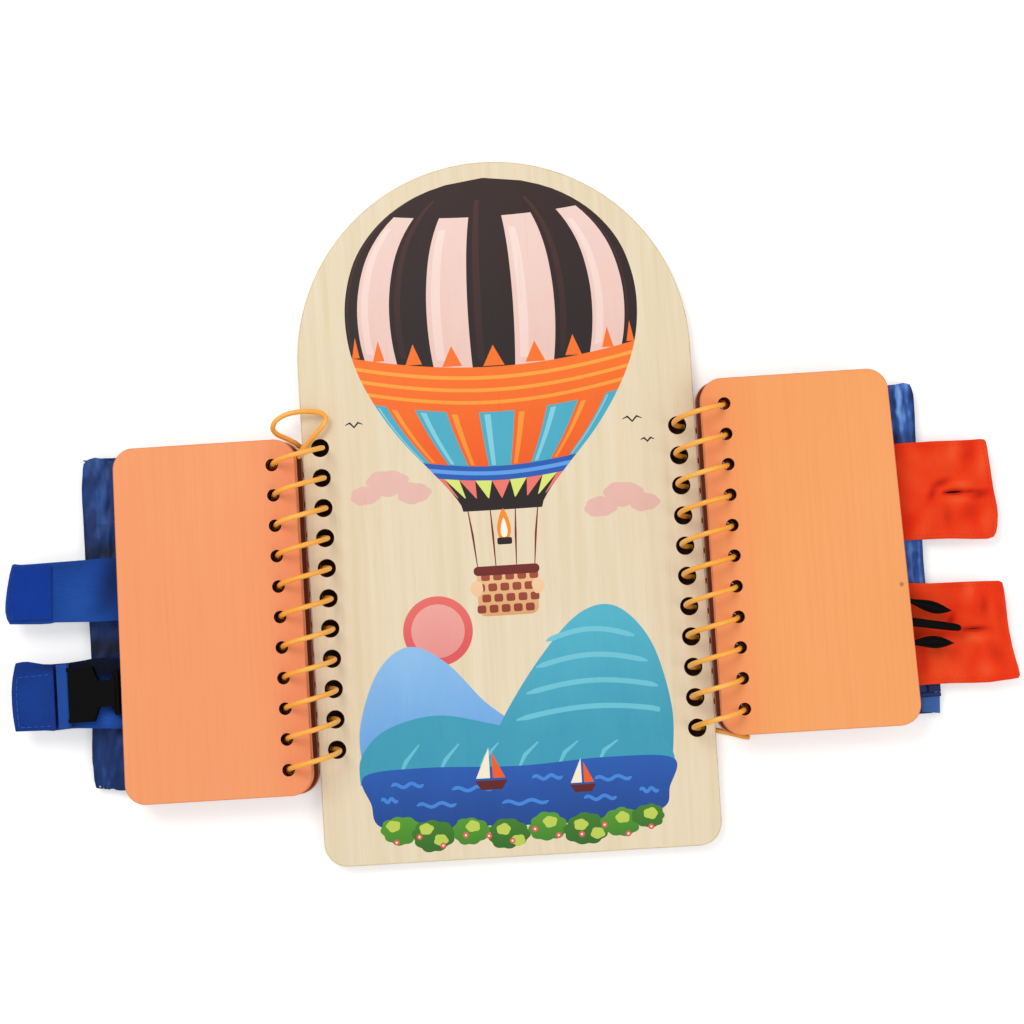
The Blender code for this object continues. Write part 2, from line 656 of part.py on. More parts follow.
def zip_tape(name, side, finish, hinge):
    """The woven tape between page 3's panel and the zip's teeth, stepping up past the page."""
    panel_low, panel_high = panel_span(PAGE_COUNT)
    inner = GAP - VEST_EDGE_INSET - LAST_PAGE_SHIFT
    outer = ZIP_REACH - TOOTH_RAIL - TOOTH_DEPTH - GAP
    level = (panel_low + panel_high) / 2
    half = ZIP_TAPE_THICK / 2
    bends = [
        (inner, level), (ZIP_STEP_OUT, level), (ZIP_STEP_OUT + ZIP_STEP_WIDTH, zip_height()),
        (outer, zip_height()),
    ]
    section = [(out, z - half) for out, z in bends] + [(out, z + half) for out, z in reversed(bends)]
    return node(name, extruded(section, [], *zip_span(side), across(side)), finish, hinge)


def zip_teeth(name, side, finish, hinge):
    """A comb of teeth along the tape's free edge."""
    rail = ZIP_REACH - TOOTH_DEPTH
    start, end = zip_span(side)
    pitch = (end - start) / TOOTH_COUNT
    outline = [(rail - TOOTH_RAIL, end), (rail - TOOTH_RAIL, start), (rail, start)]
    for n in range(TOOTH_COUNT):
        foot = start + n * pitch
        outline += [(rail, foot + pitch / 4), (ZIP_REACH, foot + pitch / 3)]
        outline += [(ZIP_REACH, foot + pitch * 2 / 3), (rail, foot + pitch * 3 / 4)]
    outline += [(rail, end)]
    low = zip_height() - TOOTH_THICK / 2
    return node(name, extruded(outline, [], low, low + TOOTH_THICK, on_page(side)), finish, hinge)


def pull_place():
    """Height of the zip pull's bar, and how far up the page it sits."""
    low = zip_height() - TOOTH_THICK / 2
    eye = PULL_BAR_RADIUS + GAP + PULL_EYE_WALL
    start = zip_span(RIGHT)[0] + SLIDER_UP
    return low - GAP - eye, start - GAP - eye


def slider_middle():
    return ZIP_REACH - (TOOTH_RAIL + TOOTH_DEPTH) / 2


def zip_slider(finish, slide):
    """A slider whose two plates and bridge wrap the teeth, with two ears that hold the pull's bar."""
    middle = zip_height()
    inner = TOOTH_THICK / 2 + GAP
    outer = inner + SLIDER_PLATE
    back = ZIP_REACH - TOOTH_RAIL - TOOTH_DEPTH - SLIDER_COVER
    front = ZIP_REACH + GAP
    face = front + SLIDER_BRIDGE
    section = [
        (back, middle - outer), (face, middle - outer), (face, middle + outer), (back, middle + outer),
        (back, middle + inner), (front, middle + inner), (front, middle - inner), (back, middle - inner),
    ]
    start = zip_span(RIGHT)[0] + SLIDER_UP
    solid = extruded(section, [], start, start + SLIDER_LENGTH, across(RIGHT))
    slider = node("zip_slider", solid, finish, slide)
    bar_z, bar_up = pull_place()
    reach = PULL_WIDTH / 2 + GAP
    ears = []
    for sign in (-1, 1):
        near = slider_middle() + sign * reach
        far = near + sign * EAR_WIDTH
        ear = [
            (bar_up - EAR_HEIGHT / 2, bar_z - EAR_HEIGHT / 2), (start + OVERRUN, middle - outer - GAP),
            (start + OVERRUN, middle - inner - GAP / 2), (bar_up - EAR_HEIGHT / 2, bar_z + EAR_HEIGHT / 2),
        ]
        ears.append(node(f"slider_ear_{sign}", extruded(ear, [], near, far, sideways(RIGHT)), finish, slide))
    span = reach + EAR_WIDTH / 2
    round_bar = circle((bar_up, bar_z), PULL_BAR_RADIUS, SMALL_SIDES)
    solid = extruded(round_bar, [], slider_middle() - span, slider_middle() + span, sideways(RIGHT))
    ears.append(node("slider_bar", solid, finish, slide))
    return combine(slider, ears, "UNION")


def zip_pull(finish, hinge):
    """The pull tab: an eye round the slider's bar and a flat tail."""
    bar_z, bar_up = pull_place()
    eye = PULL_BAR_RADIUS + GAP + PULL_EYE_WALL
    half = PULL_THICK / 2
    lean = math.degrees(math.asin(half / eye))
    outline = arc((bar_up, bar_z), eye, lean - 180, 180 - lean, SMALL_SIDES * 2)
    outline += [(bar_up - PULL_LENGTH, bar_z + half), (bar_up - PULL_LENGTH, bar_z - half)]
    bore = circle((bar_up, bar_z), PULL_BAR_RADIUS + GAP, SMALL_SIDES)
    width = PULL_WIDTH / 2
    solid = extruded(outline, [bore], slider_middle() - width, slider_middle() + width, sideways(RIGHT))
    return node("zip_pull", solid, finish, hinge)


def materials():
    return {
        "birch": material("birch", (0.78, 0.66, 0.47), 0.55),
        "page_paint": material("page_paint", (0.90, 0.40, 0.18), 0.6),
        "coil": material("coil_plastic", (0.95, 0.48, 0.08), 0.3),
        "denim": material("blue_cloth", (0.05, 0.10, 0.36), 0.8),
        "shirt": material("orange_cloth", (0.85, 0.08, 0.02), 0.85),
        "vest": material("satin_cloth", (0.03, 0.06, 0.26), 0.4),
        "webbing": material("blue_webbing", (0.02, 0.08, 0.36), 0.8),
        "hook": material("hook_tape", (0.01, 0.05, 0.25), 0.95),
        "loop": material("loop_tape", (0.05, 0.12, 0.42), 0.95),
        "buckle": material("black_plastic", (0.015, 0.015, 0.02), 0.35),
        "button": material("button_plastic", (0.95, 0.80, 0.25), 0.3),
        "tape": material("zip_cloth", (0.05, 0.12, 0.45), 0.6),
        "teeth": material("zip_plastic", (0.08, 0.16, 0.50), 0.4),
        "metal": material("zip_metal", (0.62, 0.62, 0.64), 0.3, 1.0),
    }


def side_pages(side, word, finishes):
    """Three page hinges on one ring axis, each carried by the page below it."""
    axis = (side * RING_X, 0, RING_Z)
    hinges = {}
    carrier = None
    for page in range(PAGE_COUNT, 0, -1):
        carrier = pivot(f"{word}_page_{page}_hinge", axis, carrier)
        hinges[page] = carrier
        page_board(f"{word}_page_{page}", side, page, finishes["page_paint"], carrier)
    return hinges


def edge_pivot(name, side, page, parent):
    bottom, top = strap_span(page)
    return pivot(name, (side * (EDGE_X + HINGE_OUT), 0, (bottom + top) / 2), parent)


def left_side(finishes):
    hinges = side_pages(LEFT, "left", finishes)
    cloth_panel("left_vest_panel", LEFT, 3, VEST_END_INSET, -VEST_EDGE_INSET, finishes["vest"], hinges[3])
    zip_tape("left_zip_tape", LEFT, finishes["tape"], hinges[3])
    zip_teeth("left_zip_teeth", LEFT, finishes["teeth"], hinges[3])
    cloth_panel("left_shirt_panel", LEFT, 2, SHIRT_END_INSET, PANEL_OVERHANG, finishes["shirt"], hinges[2])
    button("upper_button", UPPER_FLAP_UP, finishes["button"], hinges[2])
    button("lower_button", -LOWER_FLAP_DOWN, finishes["button"], hinges[2])
    cloth_panel("left_jacket_panel", LEFT, 1, JACKET_END_INSET, PANEL_OVERHANG, finishes["denim"], hinges[1])
    hook_strap(finishes["webbing"], finishes["hook"], edge_pivot("hook_strap_hinge", LEFT, 1, hinges[1]))
    strap_hinge = edge_pivot("buckle_strap_hinge", LEFT, 1, hinges[1])
    buckle_strap(finishes["webbing"], strap_hinge)
    bar_out, bar_z = bar_place()
    bar = (-(EDGE_X + bar_out), page_mid(LEFT) - BUCKLE_STRAP_DOWN, bar_z)
    buckle_socket(finishes["buckle"], pivot("buckle_socket_bar", bar, strap_hinge))


def right_side(finishes):
    hinges = side_pages(RIGHT, "right", finishes)
    cloth_panel("right_vest_panel", RIGHT, 3, VEST_END_INSET, -VEST_EDGE_INSET, finishes["vest"], hinges[3])
    zip_tape("right_zip_tape", RIGHT, finishes["tape"], hinges[3])
    zip_teeth("right_zip_teeth", RIGHT, finishes["teeth"], hinges[3])
    bar_z, bar_up = pull_place()
    pull = (EDGE_X + slider_middle(), page_mid(RIGHT) + bar_up, bar_z)
    slide = pivot("zip_slide", pull, hinges[3])
    zip_slider(finishes["metal"], slide)
    zip_pull(finishes["metal"], pivot("zip_pull_bar", pull, slide))
    cloth_panel("right_shirt_panel", RIGHT, 2, SHIRT_END_INSET, PANEL_OVERHANG, finishes["shirt"], hinges[2])
    upper_hinge = edge_pivot("upper_flap_hinge", RIGHT, 2, hinges[2])
    lower_hinge = edge_pivot("lower_flap_hinge", RIGHT, 2, hinges[2])
    shirt = finishes["shirt"]
    flap("upper_flap", UPPER_FLAP_UP, UPPER_FLAP_REACH, UPPER_FLAP_SHARES, shirt, upper_hinge)
    flap("lower_flap", -LOWER_FLAP_DOWN, LOWER_FLAP_REACH, LOWER_FLAP_SHARES, shirt, lower_hinge)
    half = PLUG_BASE_WIDTH / 2 + PLUG_NOTCH_MARGIN
    notch = (-PLUG_BASE_LENGTH - PLUG_NOTCH_MARGIN, -PLUG_DOWN - half, -PLUG_DOWN + half)
    cloth_panel(
        "right_jacket_panel", RIGHT, 1, JACKET_END_INSET, PANEL_OVERHANG, finishes["denim"], hinges[1], notch
    )
    loop_pad(finishes["loop"], hinges[1])
    plug_strap(finishes["webbing"], hinges[1])
    buckle_plug(finishes["buckle"], hinges[1])


def build():
    clear_scene()
    finishes = materials()
    main_board(finishes["birch"])
    coil("left_coil", LEFT, FREE_LOOP_SHARES, finishes["coil"])
    coil("right_coil", RIGHT, TAIL_SHARES, finishes["coil"])
    left_side(finishes)
    right_side(finishes)
    bpy.context.view_layer.update()


build()
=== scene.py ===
"""Busy board: the looks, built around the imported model."""

import math

import bmesh
import bpy
import numpy as np
from mathutils import Matrix, Vector, noise
from mathutils.geometry import delaunay_2d_cdt


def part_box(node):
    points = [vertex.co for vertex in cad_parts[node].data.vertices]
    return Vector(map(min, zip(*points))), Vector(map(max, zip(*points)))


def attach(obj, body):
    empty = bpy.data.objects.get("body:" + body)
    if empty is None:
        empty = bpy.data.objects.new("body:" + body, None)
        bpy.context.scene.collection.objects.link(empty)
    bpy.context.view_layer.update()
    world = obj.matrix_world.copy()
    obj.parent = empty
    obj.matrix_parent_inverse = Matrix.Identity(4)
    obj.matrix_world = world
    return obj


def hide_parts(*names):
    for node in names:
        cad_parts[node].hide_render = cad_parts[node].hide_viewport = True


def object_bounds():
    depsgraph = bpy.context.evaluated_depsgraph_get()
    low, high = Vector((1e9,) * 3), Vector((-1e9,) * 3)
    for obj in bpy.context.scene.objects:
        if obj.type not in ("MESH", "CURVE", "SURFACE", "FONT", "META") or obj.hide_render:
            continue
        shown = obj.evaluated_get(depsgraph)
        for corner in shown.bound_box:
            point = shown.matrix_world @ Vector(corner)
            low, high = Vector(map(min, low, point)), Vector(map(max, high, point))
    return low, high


MM = 0.001
LEFT, RIGHT = -1, 1
SIDES = {LEFT: "left", RIGHT: "right"}

# The camera, from a fit to the board's outline, holes and page corners
CAMERA_PLACE = (25.9, -66.7, 1020.9)
CAMERA_TURN = (0.0613, 0.0255, -0.0617)
CAMERA_LENS = 83.17

# Places, in mm
EDGE_X = 168.2
PAGE_LENGTH, PAGE_CORNER = 152, 9
PAGE_MID = {LEFT: -42, RIGHT: -28}
PAGE_HOLE, PAGE_HOLE_X, LAST_PAGE_SHIFT = 4.7, 97.2, 1.8
HOLE_COUNT, HOLE_PITCH, FIRST_HOLE_Y = 11, 13, -100
BOARD_HOLE, BOARD_HOLE_X = 7, 77.2
RING_X = 87.2
BUCKLE_DOWN = 27.8
PLUG_DOWN = 32.3
UPPER_FLAP_UP, LOWER_FLAP_DOWN = 22.6, 38.3
BOARD_HALF, BOARD_FOOT, BOARD_CROWN, BOARD_CORNER = 85, -150, 65, 10

# A knot in the right top page's wood, in metres
KNOT = (0.1669, -0.0445, 0.0159)

# Each side's top page: how far its outer edge stands out at its middle, and its lean along the page
FAN = {LEFT: (-1.87, -0.0124), RIGHT: (1.08, -0.0324)}
FAN_START = 104

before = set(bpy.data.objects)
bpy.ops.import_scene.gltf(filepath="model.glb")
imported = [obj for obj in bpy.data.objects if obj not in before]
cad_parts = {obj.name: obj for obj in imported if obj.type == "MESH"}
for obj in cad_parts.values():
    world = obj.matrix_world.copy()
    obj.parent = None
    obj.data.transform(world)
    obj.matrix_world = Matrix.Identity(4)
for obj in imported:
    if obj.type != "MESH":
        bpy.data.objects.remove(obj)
cad_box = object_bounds()


def span(node):
    """Lowest and highest corner of a CAD node in mm."""
    low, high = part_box(node)
    return low / MM, high / MM


def link(thing):
    bpy.context.scene.collection.objects.link(thing)
    return thing


# Camera, light and floor

def camera():
    data = bpy.data.cameras.new("camera")
    data.sensor_width = 36
    data.lens = CAMERA_LENS
    data.clip_start = 0.05
    eye = link(bpy.data.objects.new("camera", data))
    rx, ry, rz = CAMERA_TURN
    turn = Matrix.Rotation(rz, 4, "Z") @ Matrix.Rotation(ry, 4, "Y") @ Matrix.Rotation(rx, 4, "X")
    eye.matrix_world = Matrix.Translation(Vector(CAMERA_PLACE) * MM) @ turn
    bpy.context.scene.camera = eye


def lamp(name, place, size, power):
    """A round area light that faces the part's middle."""
    data = bpy.data.lights.new(name, "AREA")
    data.shape = "DISK"
    data.size = size
    data.energy = power
    thing = link(bpy.data.objects.new(name, data))
    thing.location = place
    thing.rotation_euler = (-Vector(place)).to_track_quat("-Z", "Y").to_euler()


LAMPS = [("key", (-0.55, 0.75, 1.5), 0.9, 11), ("fill", (0.9, -0.5, 1.3), 1.1, 5.5)]
WORLD_SHINE, FLOOR_GLOW = 0.62, 0.34


def lights():
    bpy.context.scene.view_settings.view_transform = "Standard"
    for row in LAMPS:
        lamp(*row)
    world = bpy.data.worlds.new("studio")
    bpy.context.scene.world = world
    world.use_nodes = True
    tree = world.node_tree
    plain = tree.nodes["Background"]
    seen = tree.nodes.new("ShaderNodeBackground")
    for node, strength in ((plain, WORLD_SHINE), (seen, 1.0)):
        node.inputs["Color"].default_value = (1, 1, 1, 1)
        node.inputs["Strength"].default_value = strength
    path = tree.nodes.new("ShaderNodeLightPath")
    pick = tree.nodes.new("ShaderNodeMixShader")
    tree.links.new(path.outputs["Is Camera Ray"], pick.inputs[0])
    tree.links.new(plain.outputs[0], pick.inputs[1])
    tree.links.new(seen.outputs[0], pick.inputs[2])
    tree.links.new(pick.outputs[0], tree.nodes["World Output"].inputs["Surface"])


FLOOR_HALF = 4.0
# The sheet of painted shade under the board: its span up the board, its inset from the sides and its lift,
# in mm
PAINTED_SHADE_Y, PAINTED_SHADE_INSET, PAINTED_SHADE_LIFT = (-108, 38), 3, 0.15


def stage_sheet(name, low, high, level, paint):
    """A flat piece of the stage between two plan corners, in metres."""
    data = bpy.data.meshes.new(name)
    corners = [(low[0], low[1]), (high[0], low[1]), (high[0], high[1]), (low[0], high[1])]
    data.from_pydata([(x, y, level) for x, y in corners], [], [(0, 1, 2, 3)])
    data.materials.append(paint.material)
    link(bpy.data.objects.new(name, data))


def floor():
    """A pale floor, and a dark sheet of painted shade under the board, so that the holes through the board
    look dark.
    """
    level = cad_box[0][2]
    pale = Finish("floor_paper", 0.9, Specular_IOR_Level=0.1, Base_Color=(0.82, 0.82, 0.815, 1),
                  Emission_Color=(1, 1, 1, 1))
    seen = pale.node("LightPath").outputs["Is Camera Ray"]
    pale.tree.links.new(pale.math("MULTIPLY", seen, FLOOR_GLOW), pale.shader.inputs["Emission Strength"])
    stage_sheet("floor", (-FLOOR_HALF, -FLOOR_HALF), (FLOOR_HALF, FLOOR_HALF), level, pale)
    # Painted shade: a dark sheet under the board, seen through its holes
    dark = Finish("floor_felt", 1.0, Base_Color=ink("#3A1C10"))
    reach = (BOARD_HALF - PAINTED_SHADE_INSET) * MM
    low, high = PAINTED_SHADE_Y
    stage_sheet("floor_felt", (-reach, low * MM), (reach, high * MM), level + PAINTED_SHADE_LIFT * MM, dark)


# Materials

def ink(text, alpha=1.0):
    """A colour written as its sRGB hex value, made linear."""
    parts = [int(text[k:k + 2], 16) / 255 for k in (1, 3, 5)]
    return (*[c / 12.92 if c <= 0.04045 else ((c + 0.055) / 1.055) ** 2.4 for c in parts], alpha)


class Finish:
    """A Principled material with a few short calls for its texture nodes."""

    def __init__(self, name, roughness, **constants):
        self.material = bpy.data.materials.new(name)
        self.material.use_nodes = True
        self.tree = self.material.node_tree
        self.shader = self.tree.nodes["Principled BSDF"]
        self.shader.inputs["Roughness"].default_value = roughness
        for key, value in constants.items():
            self.shader.inputs[key.replace("_", " ")].default_value = value
        self.coordinates = self.node("TexCoord").outputs["Object"]

    def node(self, kind, inputs=None, **settings):
        made = self.tree.nodes.new("ShaderNode" + kind)
        for key, value in settings.items():
            setattr(made, key, value)
        for key, value in (inputs or {}).items():
            if isinstance(value, bpy.types.NodeSocket):
                self.tree.links.new(value, made.inputs[key])
            else:
                made.inputs[key].default_value = value
        return made

    def stretch(self, scale, turn=0.0):
        """Object coordinates, scaled per metre, turned about Z first."""
        turned = self.node("Mapping", {"Vector": self.coordinates, "Rotation": (0, 0, turn)})
        return self.node("Mapping", {"Vector": turned.outputs[0], "Scale": scale}).outputs[0]

    def noise(self, scale, detail=3.0, rough=0.5, vector=None):
        where = vector or self.coordinates
        inputs = {"Vector": where, "Scale": scale, "Detail": detail, "Roughness": rough}
        return self.node("TexNoise", inputs).outputs["Fac"]

    def wave(self, scale, axis="X", vector=None, distortion=0.0):
        where = vector or self.coordinates
        inputs = {"Vector": where, "Scale": scale, "Distortion": distortion, "Detail": 2.0}
        return self.node("TexWave", {**inputs, "Detail Scale": 1.5}, bands_direction=axis).outputs["Fac"]

    def voronoi(self, scale):
        return self.node("TexVoronoi", {"Vector": self.coordinates, "Scale": scale}).outputs["Distance"]

    def ramp(self, value, *stops):
        made = self.node("ValToRGB", {"Fac": value})
        elements = made.color_ramp.elements
        while len(elements) < len(stops):
            elements.new(0.5)
        for element, (place, colour) in zip(elements, stops):
            element.position = place
            element.color = colour if hasattr(colour, "__len__") else (colour, colour, colour, 1)
        return made.outputs["Color"]

    def math(self, operation, a, b=0.0, clamp=False):
        return self.node("Math", {0: a, 1: b}, operation=operation, use_clamp=clamp).outputs[0]

    def between(self, value, start, end):
        """Goes from 0 to 1 while a value goes from start to end."""
        return self.node("MapRange", {"Value": value, "From Min": start, "From Max": end}).outputs[0]

    def axis(self, name):
        """One object coordinate, in metres."""
        return self.node("SeparateXYZ", {0: self.coordinates}).outputs[name]

    def painted_light_mix(self, base, bright, dark):
        """Colours lifted by painted light and sunk by painted shade, as stored on the mesh from -1 to 1."""
        painted_light = self.node("Attribute", attribute_name="painted_light").outputs["Fac"]
        base = self.mix(self.math("MULTIPLY", painted_light, 1.0, clamp=True), base, ink(bright))
        return self.mix(self.math("MULTIPLY", painted_light, -1.0, clamp=True), base, ink(dark))

    def mix(self, factor, a, b, blend="MIX"):
        return self.node("Mix", {0: factor, 6: a, 7: b}, data_type="RGBA", blend_type=blend).outputs[2]

    def layer(self, base, value, start, end, share, colour, blend="MIX"):
        """Lays a colour over a base while a value goes from start to end, up to a share."""
        return self.mix(self.ramp(value, (start, 0.0), (end, share)), base, ink(colour), blend)

    def colour(self, socket):
        self.tree.links.new(socket, self.shader.inputs["Base Color"])
        return self

    def roughness(self, value, low, high):
        made = self.node("MapRange", {"Value": value, "To Min": low, "To Max": high})
        self.tree.links.new(made.outputs[0], self.shader.inputs["Roughness"])
        return self

    def bump(self, height, distance, strength=1.0):
        """Bump whose height is given in mm."""
        before = self.shader.inputs["Normal"]
        inputs = {"Height": height, "Distance": distance * MM, "Strength": strength}
        if before.is_linked:
            inputs["Normal"] = before.links[0].from_socket
        made = self.node("Bump", inputs)
        self.tree.links.new(made.outputs[0], before)
        return self


def birch_finish():
    f = Finish("birch_ply", 0.5, Specular_IOR_Level=0.35)
    streak = f.noise(1.0, 5, 0.6, f.stretch((260, 9, 260)))
    fine = f.noise(1.0, 3, 0.6, f.stretch((1300, 40, 1300)))
    cloud = f.noise(14, 3)
    base = f.layer(ink("#E9DABD"), streak, 0.35, 0.72, 1.0, "#E0CDA8")
    base = f.layer(base, cloud, 0.35, 0.75, 0.55, "#E3D2B2")
    base = f.layer(base, fine, 0.56, 0.8, 0.35, "#CDB58B")
    return f.colour(base).roughness(cloud, 0.42, 0.6).bump(fine, 0.05, 0.5).bump(streak, 0.08, 0.3)


def edge_finish(name, pale, deep, char_colour):
    """A sawn edge of plywood: thin plies and a few scorched specks."""
    f = Finish(name, 0.65, Specular_IOR_Level=0.25)
    plies = f.wave(330, "Z", distortion=0.4)
    char = f.noise(220, 4)
    base = f.layer(ink(pale), plies, 0.3, 0.7, 1.0, deep)
    base = f.layer(base, char, 0.5, 0.8, 0.5, char_colour)
    return f.colour(base).bump(char, 0.15, 0.6)


def hole_finish():
    # Hole walls: charred wood, darkened much further as painted shade of the deep holes
    f = Finish("charred_and_shaded_hole_wall", 0.8, Specular_IOR_Level=0.1)
    char = f.noise(400, 3)
    return f.colour(f.layer(ink("#3A1A0C"), char, 0.3, 0.7, 1.0, "#1E0D06")).bump(char, 0.1, 0.6)


def ink_finish(name, deep, light, start, end):
    """A printed colour: a soft gradient up the board between two places in mm, brushed and grained."""
    f = Finish("print_" + name, 0.45, Specular_IOR_Level=0.35)
    slide = f.between(f.axis("Y"), start * MM, end * MM)
    brush = f.noise(1.0, 4, 0.6, f.stretch((90, 30, 90)))
    fine = f.noise(1.0, 3, 0.6, f.stretch((1300, 40, 1300)))
    share = f.math("ADD", slide, f.math("MULTIPLY", f.math("SUBTRACT", brush, 0.5), 0.5), clamp=True)
    base = f.mix(share, ink(deep), ink(light))
    base = f.layer(base, fine, 0.6, 0.85, 0.25, "#CDB58B", "MULTIPLY")
    return f.colour(base).roughness(brush, 0.38, 0.55).bump(fine, 0.04, 0.5)


def page_finish(side, lower=False):
    """Orange stain on pale wood, with painted shade and reflection of the coil reddening it by the holes.
    The lower pages get inner margins of painted shade, dark where the gap by the board lies.
    """
    base_colour, warm, pale = {
        LEFT: ("#F29A66", "#EF8A5B", "#F5A56F"),
        RIGHT: ("#F29D5B", "#EE9355", "#F4A769"),
    }[side]
    name = SIDES[side] + ("_lower" if lower else "") + "_page_paint"
    f = Finish(name, 0.62, Specular_IOR_Level=0.25)
    streak = f.noise(1.0, 4, 0.55, f.stretch((700, 14, 700)))
    cloud = f.noise(10, 3, 0.5)
    base = f.layer(ink(base_colour), cloud, 0.35, 0.7, 0.6, pale)
    base = f.layer(base, streak, 0.45, 0.8, 0.45, warm)
    # Painted shade and reflection of the coil: redder towards the holes
    reach = f.math("MULTIPLY", f.axis("X"), side)
    near = f.between(reach, 0.112, 0.089)
    base = f.mix(f.math("MULTIPLY", near, 0.45), base, ink("#EE8258"))
    if lower:
        # Painted shade: a dark inner margin on the lower pages, for the shaded gap by the board
        painted_margin_shade = f.between(reach, 0.0955, 0.0885)
        base = f.mix(f.math("MULTIPLY", painted_margin_shade, 0.93), base, ink("#5A1A10"))
    if side == RIGHT and not lower:
        away = f.node("VectorMath", {0: f.coordinates, 1: KNOT}, operation="DISTANCE").outputs["Value"]
        spot = f.between(away, 0.0013, 0.0004)
        base = f.mix(f.math("MULTIPLY", spot, 0.75), base, ink("#A0562C"))
    return f.colour(base).roughness(cloud, 0.55, 0.7).bump(streak, 0.06, 0.4)


def coil_finish():
    f = Finish("coil_plastic", 0.28, IOR=1.5, Subsurface_Weight=0.12, Subsurface_Scale=0.0012)
    f.shader.inputs["Subsurface Radius"].default_value = (1.0, 0.5, 0.2)
    cloud = f.noise(60, 2)
    scuff = f.noise(900, 3)
    base = f.layer(ink("#FBAA38"), cloud, 0.35, 0.7, 1.0, "#FFBA50")
    return f.colour(base).roughness(scuff, 0.22, 0.36).bump(cloud, 0.05, 0.3)


def woven_finish(name, deep, light, thread=0.55, sheen=0.3, ribs=None, cloud_share=0.6, fuzz=0.5,
                 painted_light_colours=None):
    """Cloth: over-and-under threads in mm, colour clouds, a little fuzz and, where colours are given,
    painted light and shade stored on the mesh.
    """
    f = Finish(name, 0.85, Specular_IOR_Level=0.2, Sheen_Weight=sheen, Sheen_Roughness=0.4)
    scale = 1 / (2 * thread * MM)
    weave = f.math("MULTIPLY", f.wave(scale, "X"), f.wave(scale, "Y"))
    cloud = f.noise(45, 4, 0.6)
    hair = f.noise(1500, 3, 0.6)
    base = f.layer(ink(deep), cloud, 0.35, 0.7, cloud_share, light)
    gap_colour = (*[0.55 * c for c in ink(deep)[:3]], 1)
    base = f.mix(f.ramp(weave, (0.1, 0.35), (0.6, 0.0)), base, gap_colour)
    base = f.layer(base, hair, 0.5, 0.75, fuzz * 0.5, light)
    if painted_light_colours:
        base = f.painted_light_mix(base, *painted_light_colours)
    f.colour(base)
    f.bump(weave, thread * 0.22, 0.8)
    if ribs:
        f.bump(f.wave(1 / (2 * ribs * MM), "Y"), ribs * 0.3, 0.7)
    return f.bump(hair, 0.08, 0.5)


def satin_finish(name, deep, light, painted_light_colours, sheen_streaks=0.45):
    """Satin: fine lengthwise threads, lengthwise runs of painted sheen, and painted light and shade stored
    on the mesh.
    """
    f = Finish(name, 0.42, Specular_IOR_Level=0.22, Sheen_Weight=0.04, Sheen_Roughness=0.3)
    run = f.noise(1.0, 4, 0.65, f.stretch((520, 26, 520)))
    cloud = f.noise(70, 4, 0.6)
    thread = f.wave(1100, "X")
    base = f.layer(ink(deep), cloud, 0.35, 0.72, 0.6, light)
    # Painted sheen: lighter lengthwise runs
    base = f.layer(base, run, 0.5, 0.68, sheen_streaks, light)
    f.colour(f.painted_light_mix(base, *painted_light_colours)).roughness(run, 0.34, 0.5)
    return f.bump(run, 0.2, 0.4).bump(cloud, 0.4, 0.3).bump(thread, 0.05, 0.4)


def pile_finish(name, deep, light):
    """Loop tape: a dense field of tiny tufts."""
    f = Finish(name, 0.9, Specular_IOR_Level=0.25, Sheen_Weight=0.5, Sheen_Roughness=0.5)
    tuft = f.voronoi(600)
    cloud = f.noise(80, 3)
    base = f.layer(ink(light), tuft, 0.1, 0.75, 1.0, deep)
    base = f.layer(base, cloud, 0.4, 0.7, 0.5, deep)
    return f.colour(base).bump(f.math("SUBTRACT", 1.0, tuft), 0.5, 0.8)


def plastic_finish(name, deep, light, rough=0.36, grain=0.05, gloss=0.5):
    f = Finish(name, rough, IOR=1.49, Specular_IOR_Level=gloss)
    cloud = f.noise(60, 3)
    grit = f.noise(2200, 2)
    f.colour(f.layer(ink(deep), cloud, 0.35, 0.75, 1.0, light))
    return f.roughness(cloud, rough - 0.08, rough + 0.1).bump(grit, grain, 0.5)


def denim_finish():
    f = Finish("denim", 0.85, Specular_IOR_Level=0.2, Sheen_Weight=0.2, Sheen_Roughness=0.5)
    twill = f.wave(1150, "X", f.stretch((1, 1, 1), math.radians(58)))
    cloud = f.noise(60, 4, 0.65)
    speck = f.noise(1300, 3, 0.7)
    base = f.layer(ink("#23407F"), cloud, 0.35, 0.7, 1.0, "#34599F")
    base = f.layer(base, twill, 0.45, 0.8, 0.6, "#6D8CC0")
    base = f.layer(base, speck, 0.5, 0.8, 0.7, "#182C5C")
    return f.colour(base).bump(twill, 0.12, 0.8).bump(speck, 0.08, 0.4)


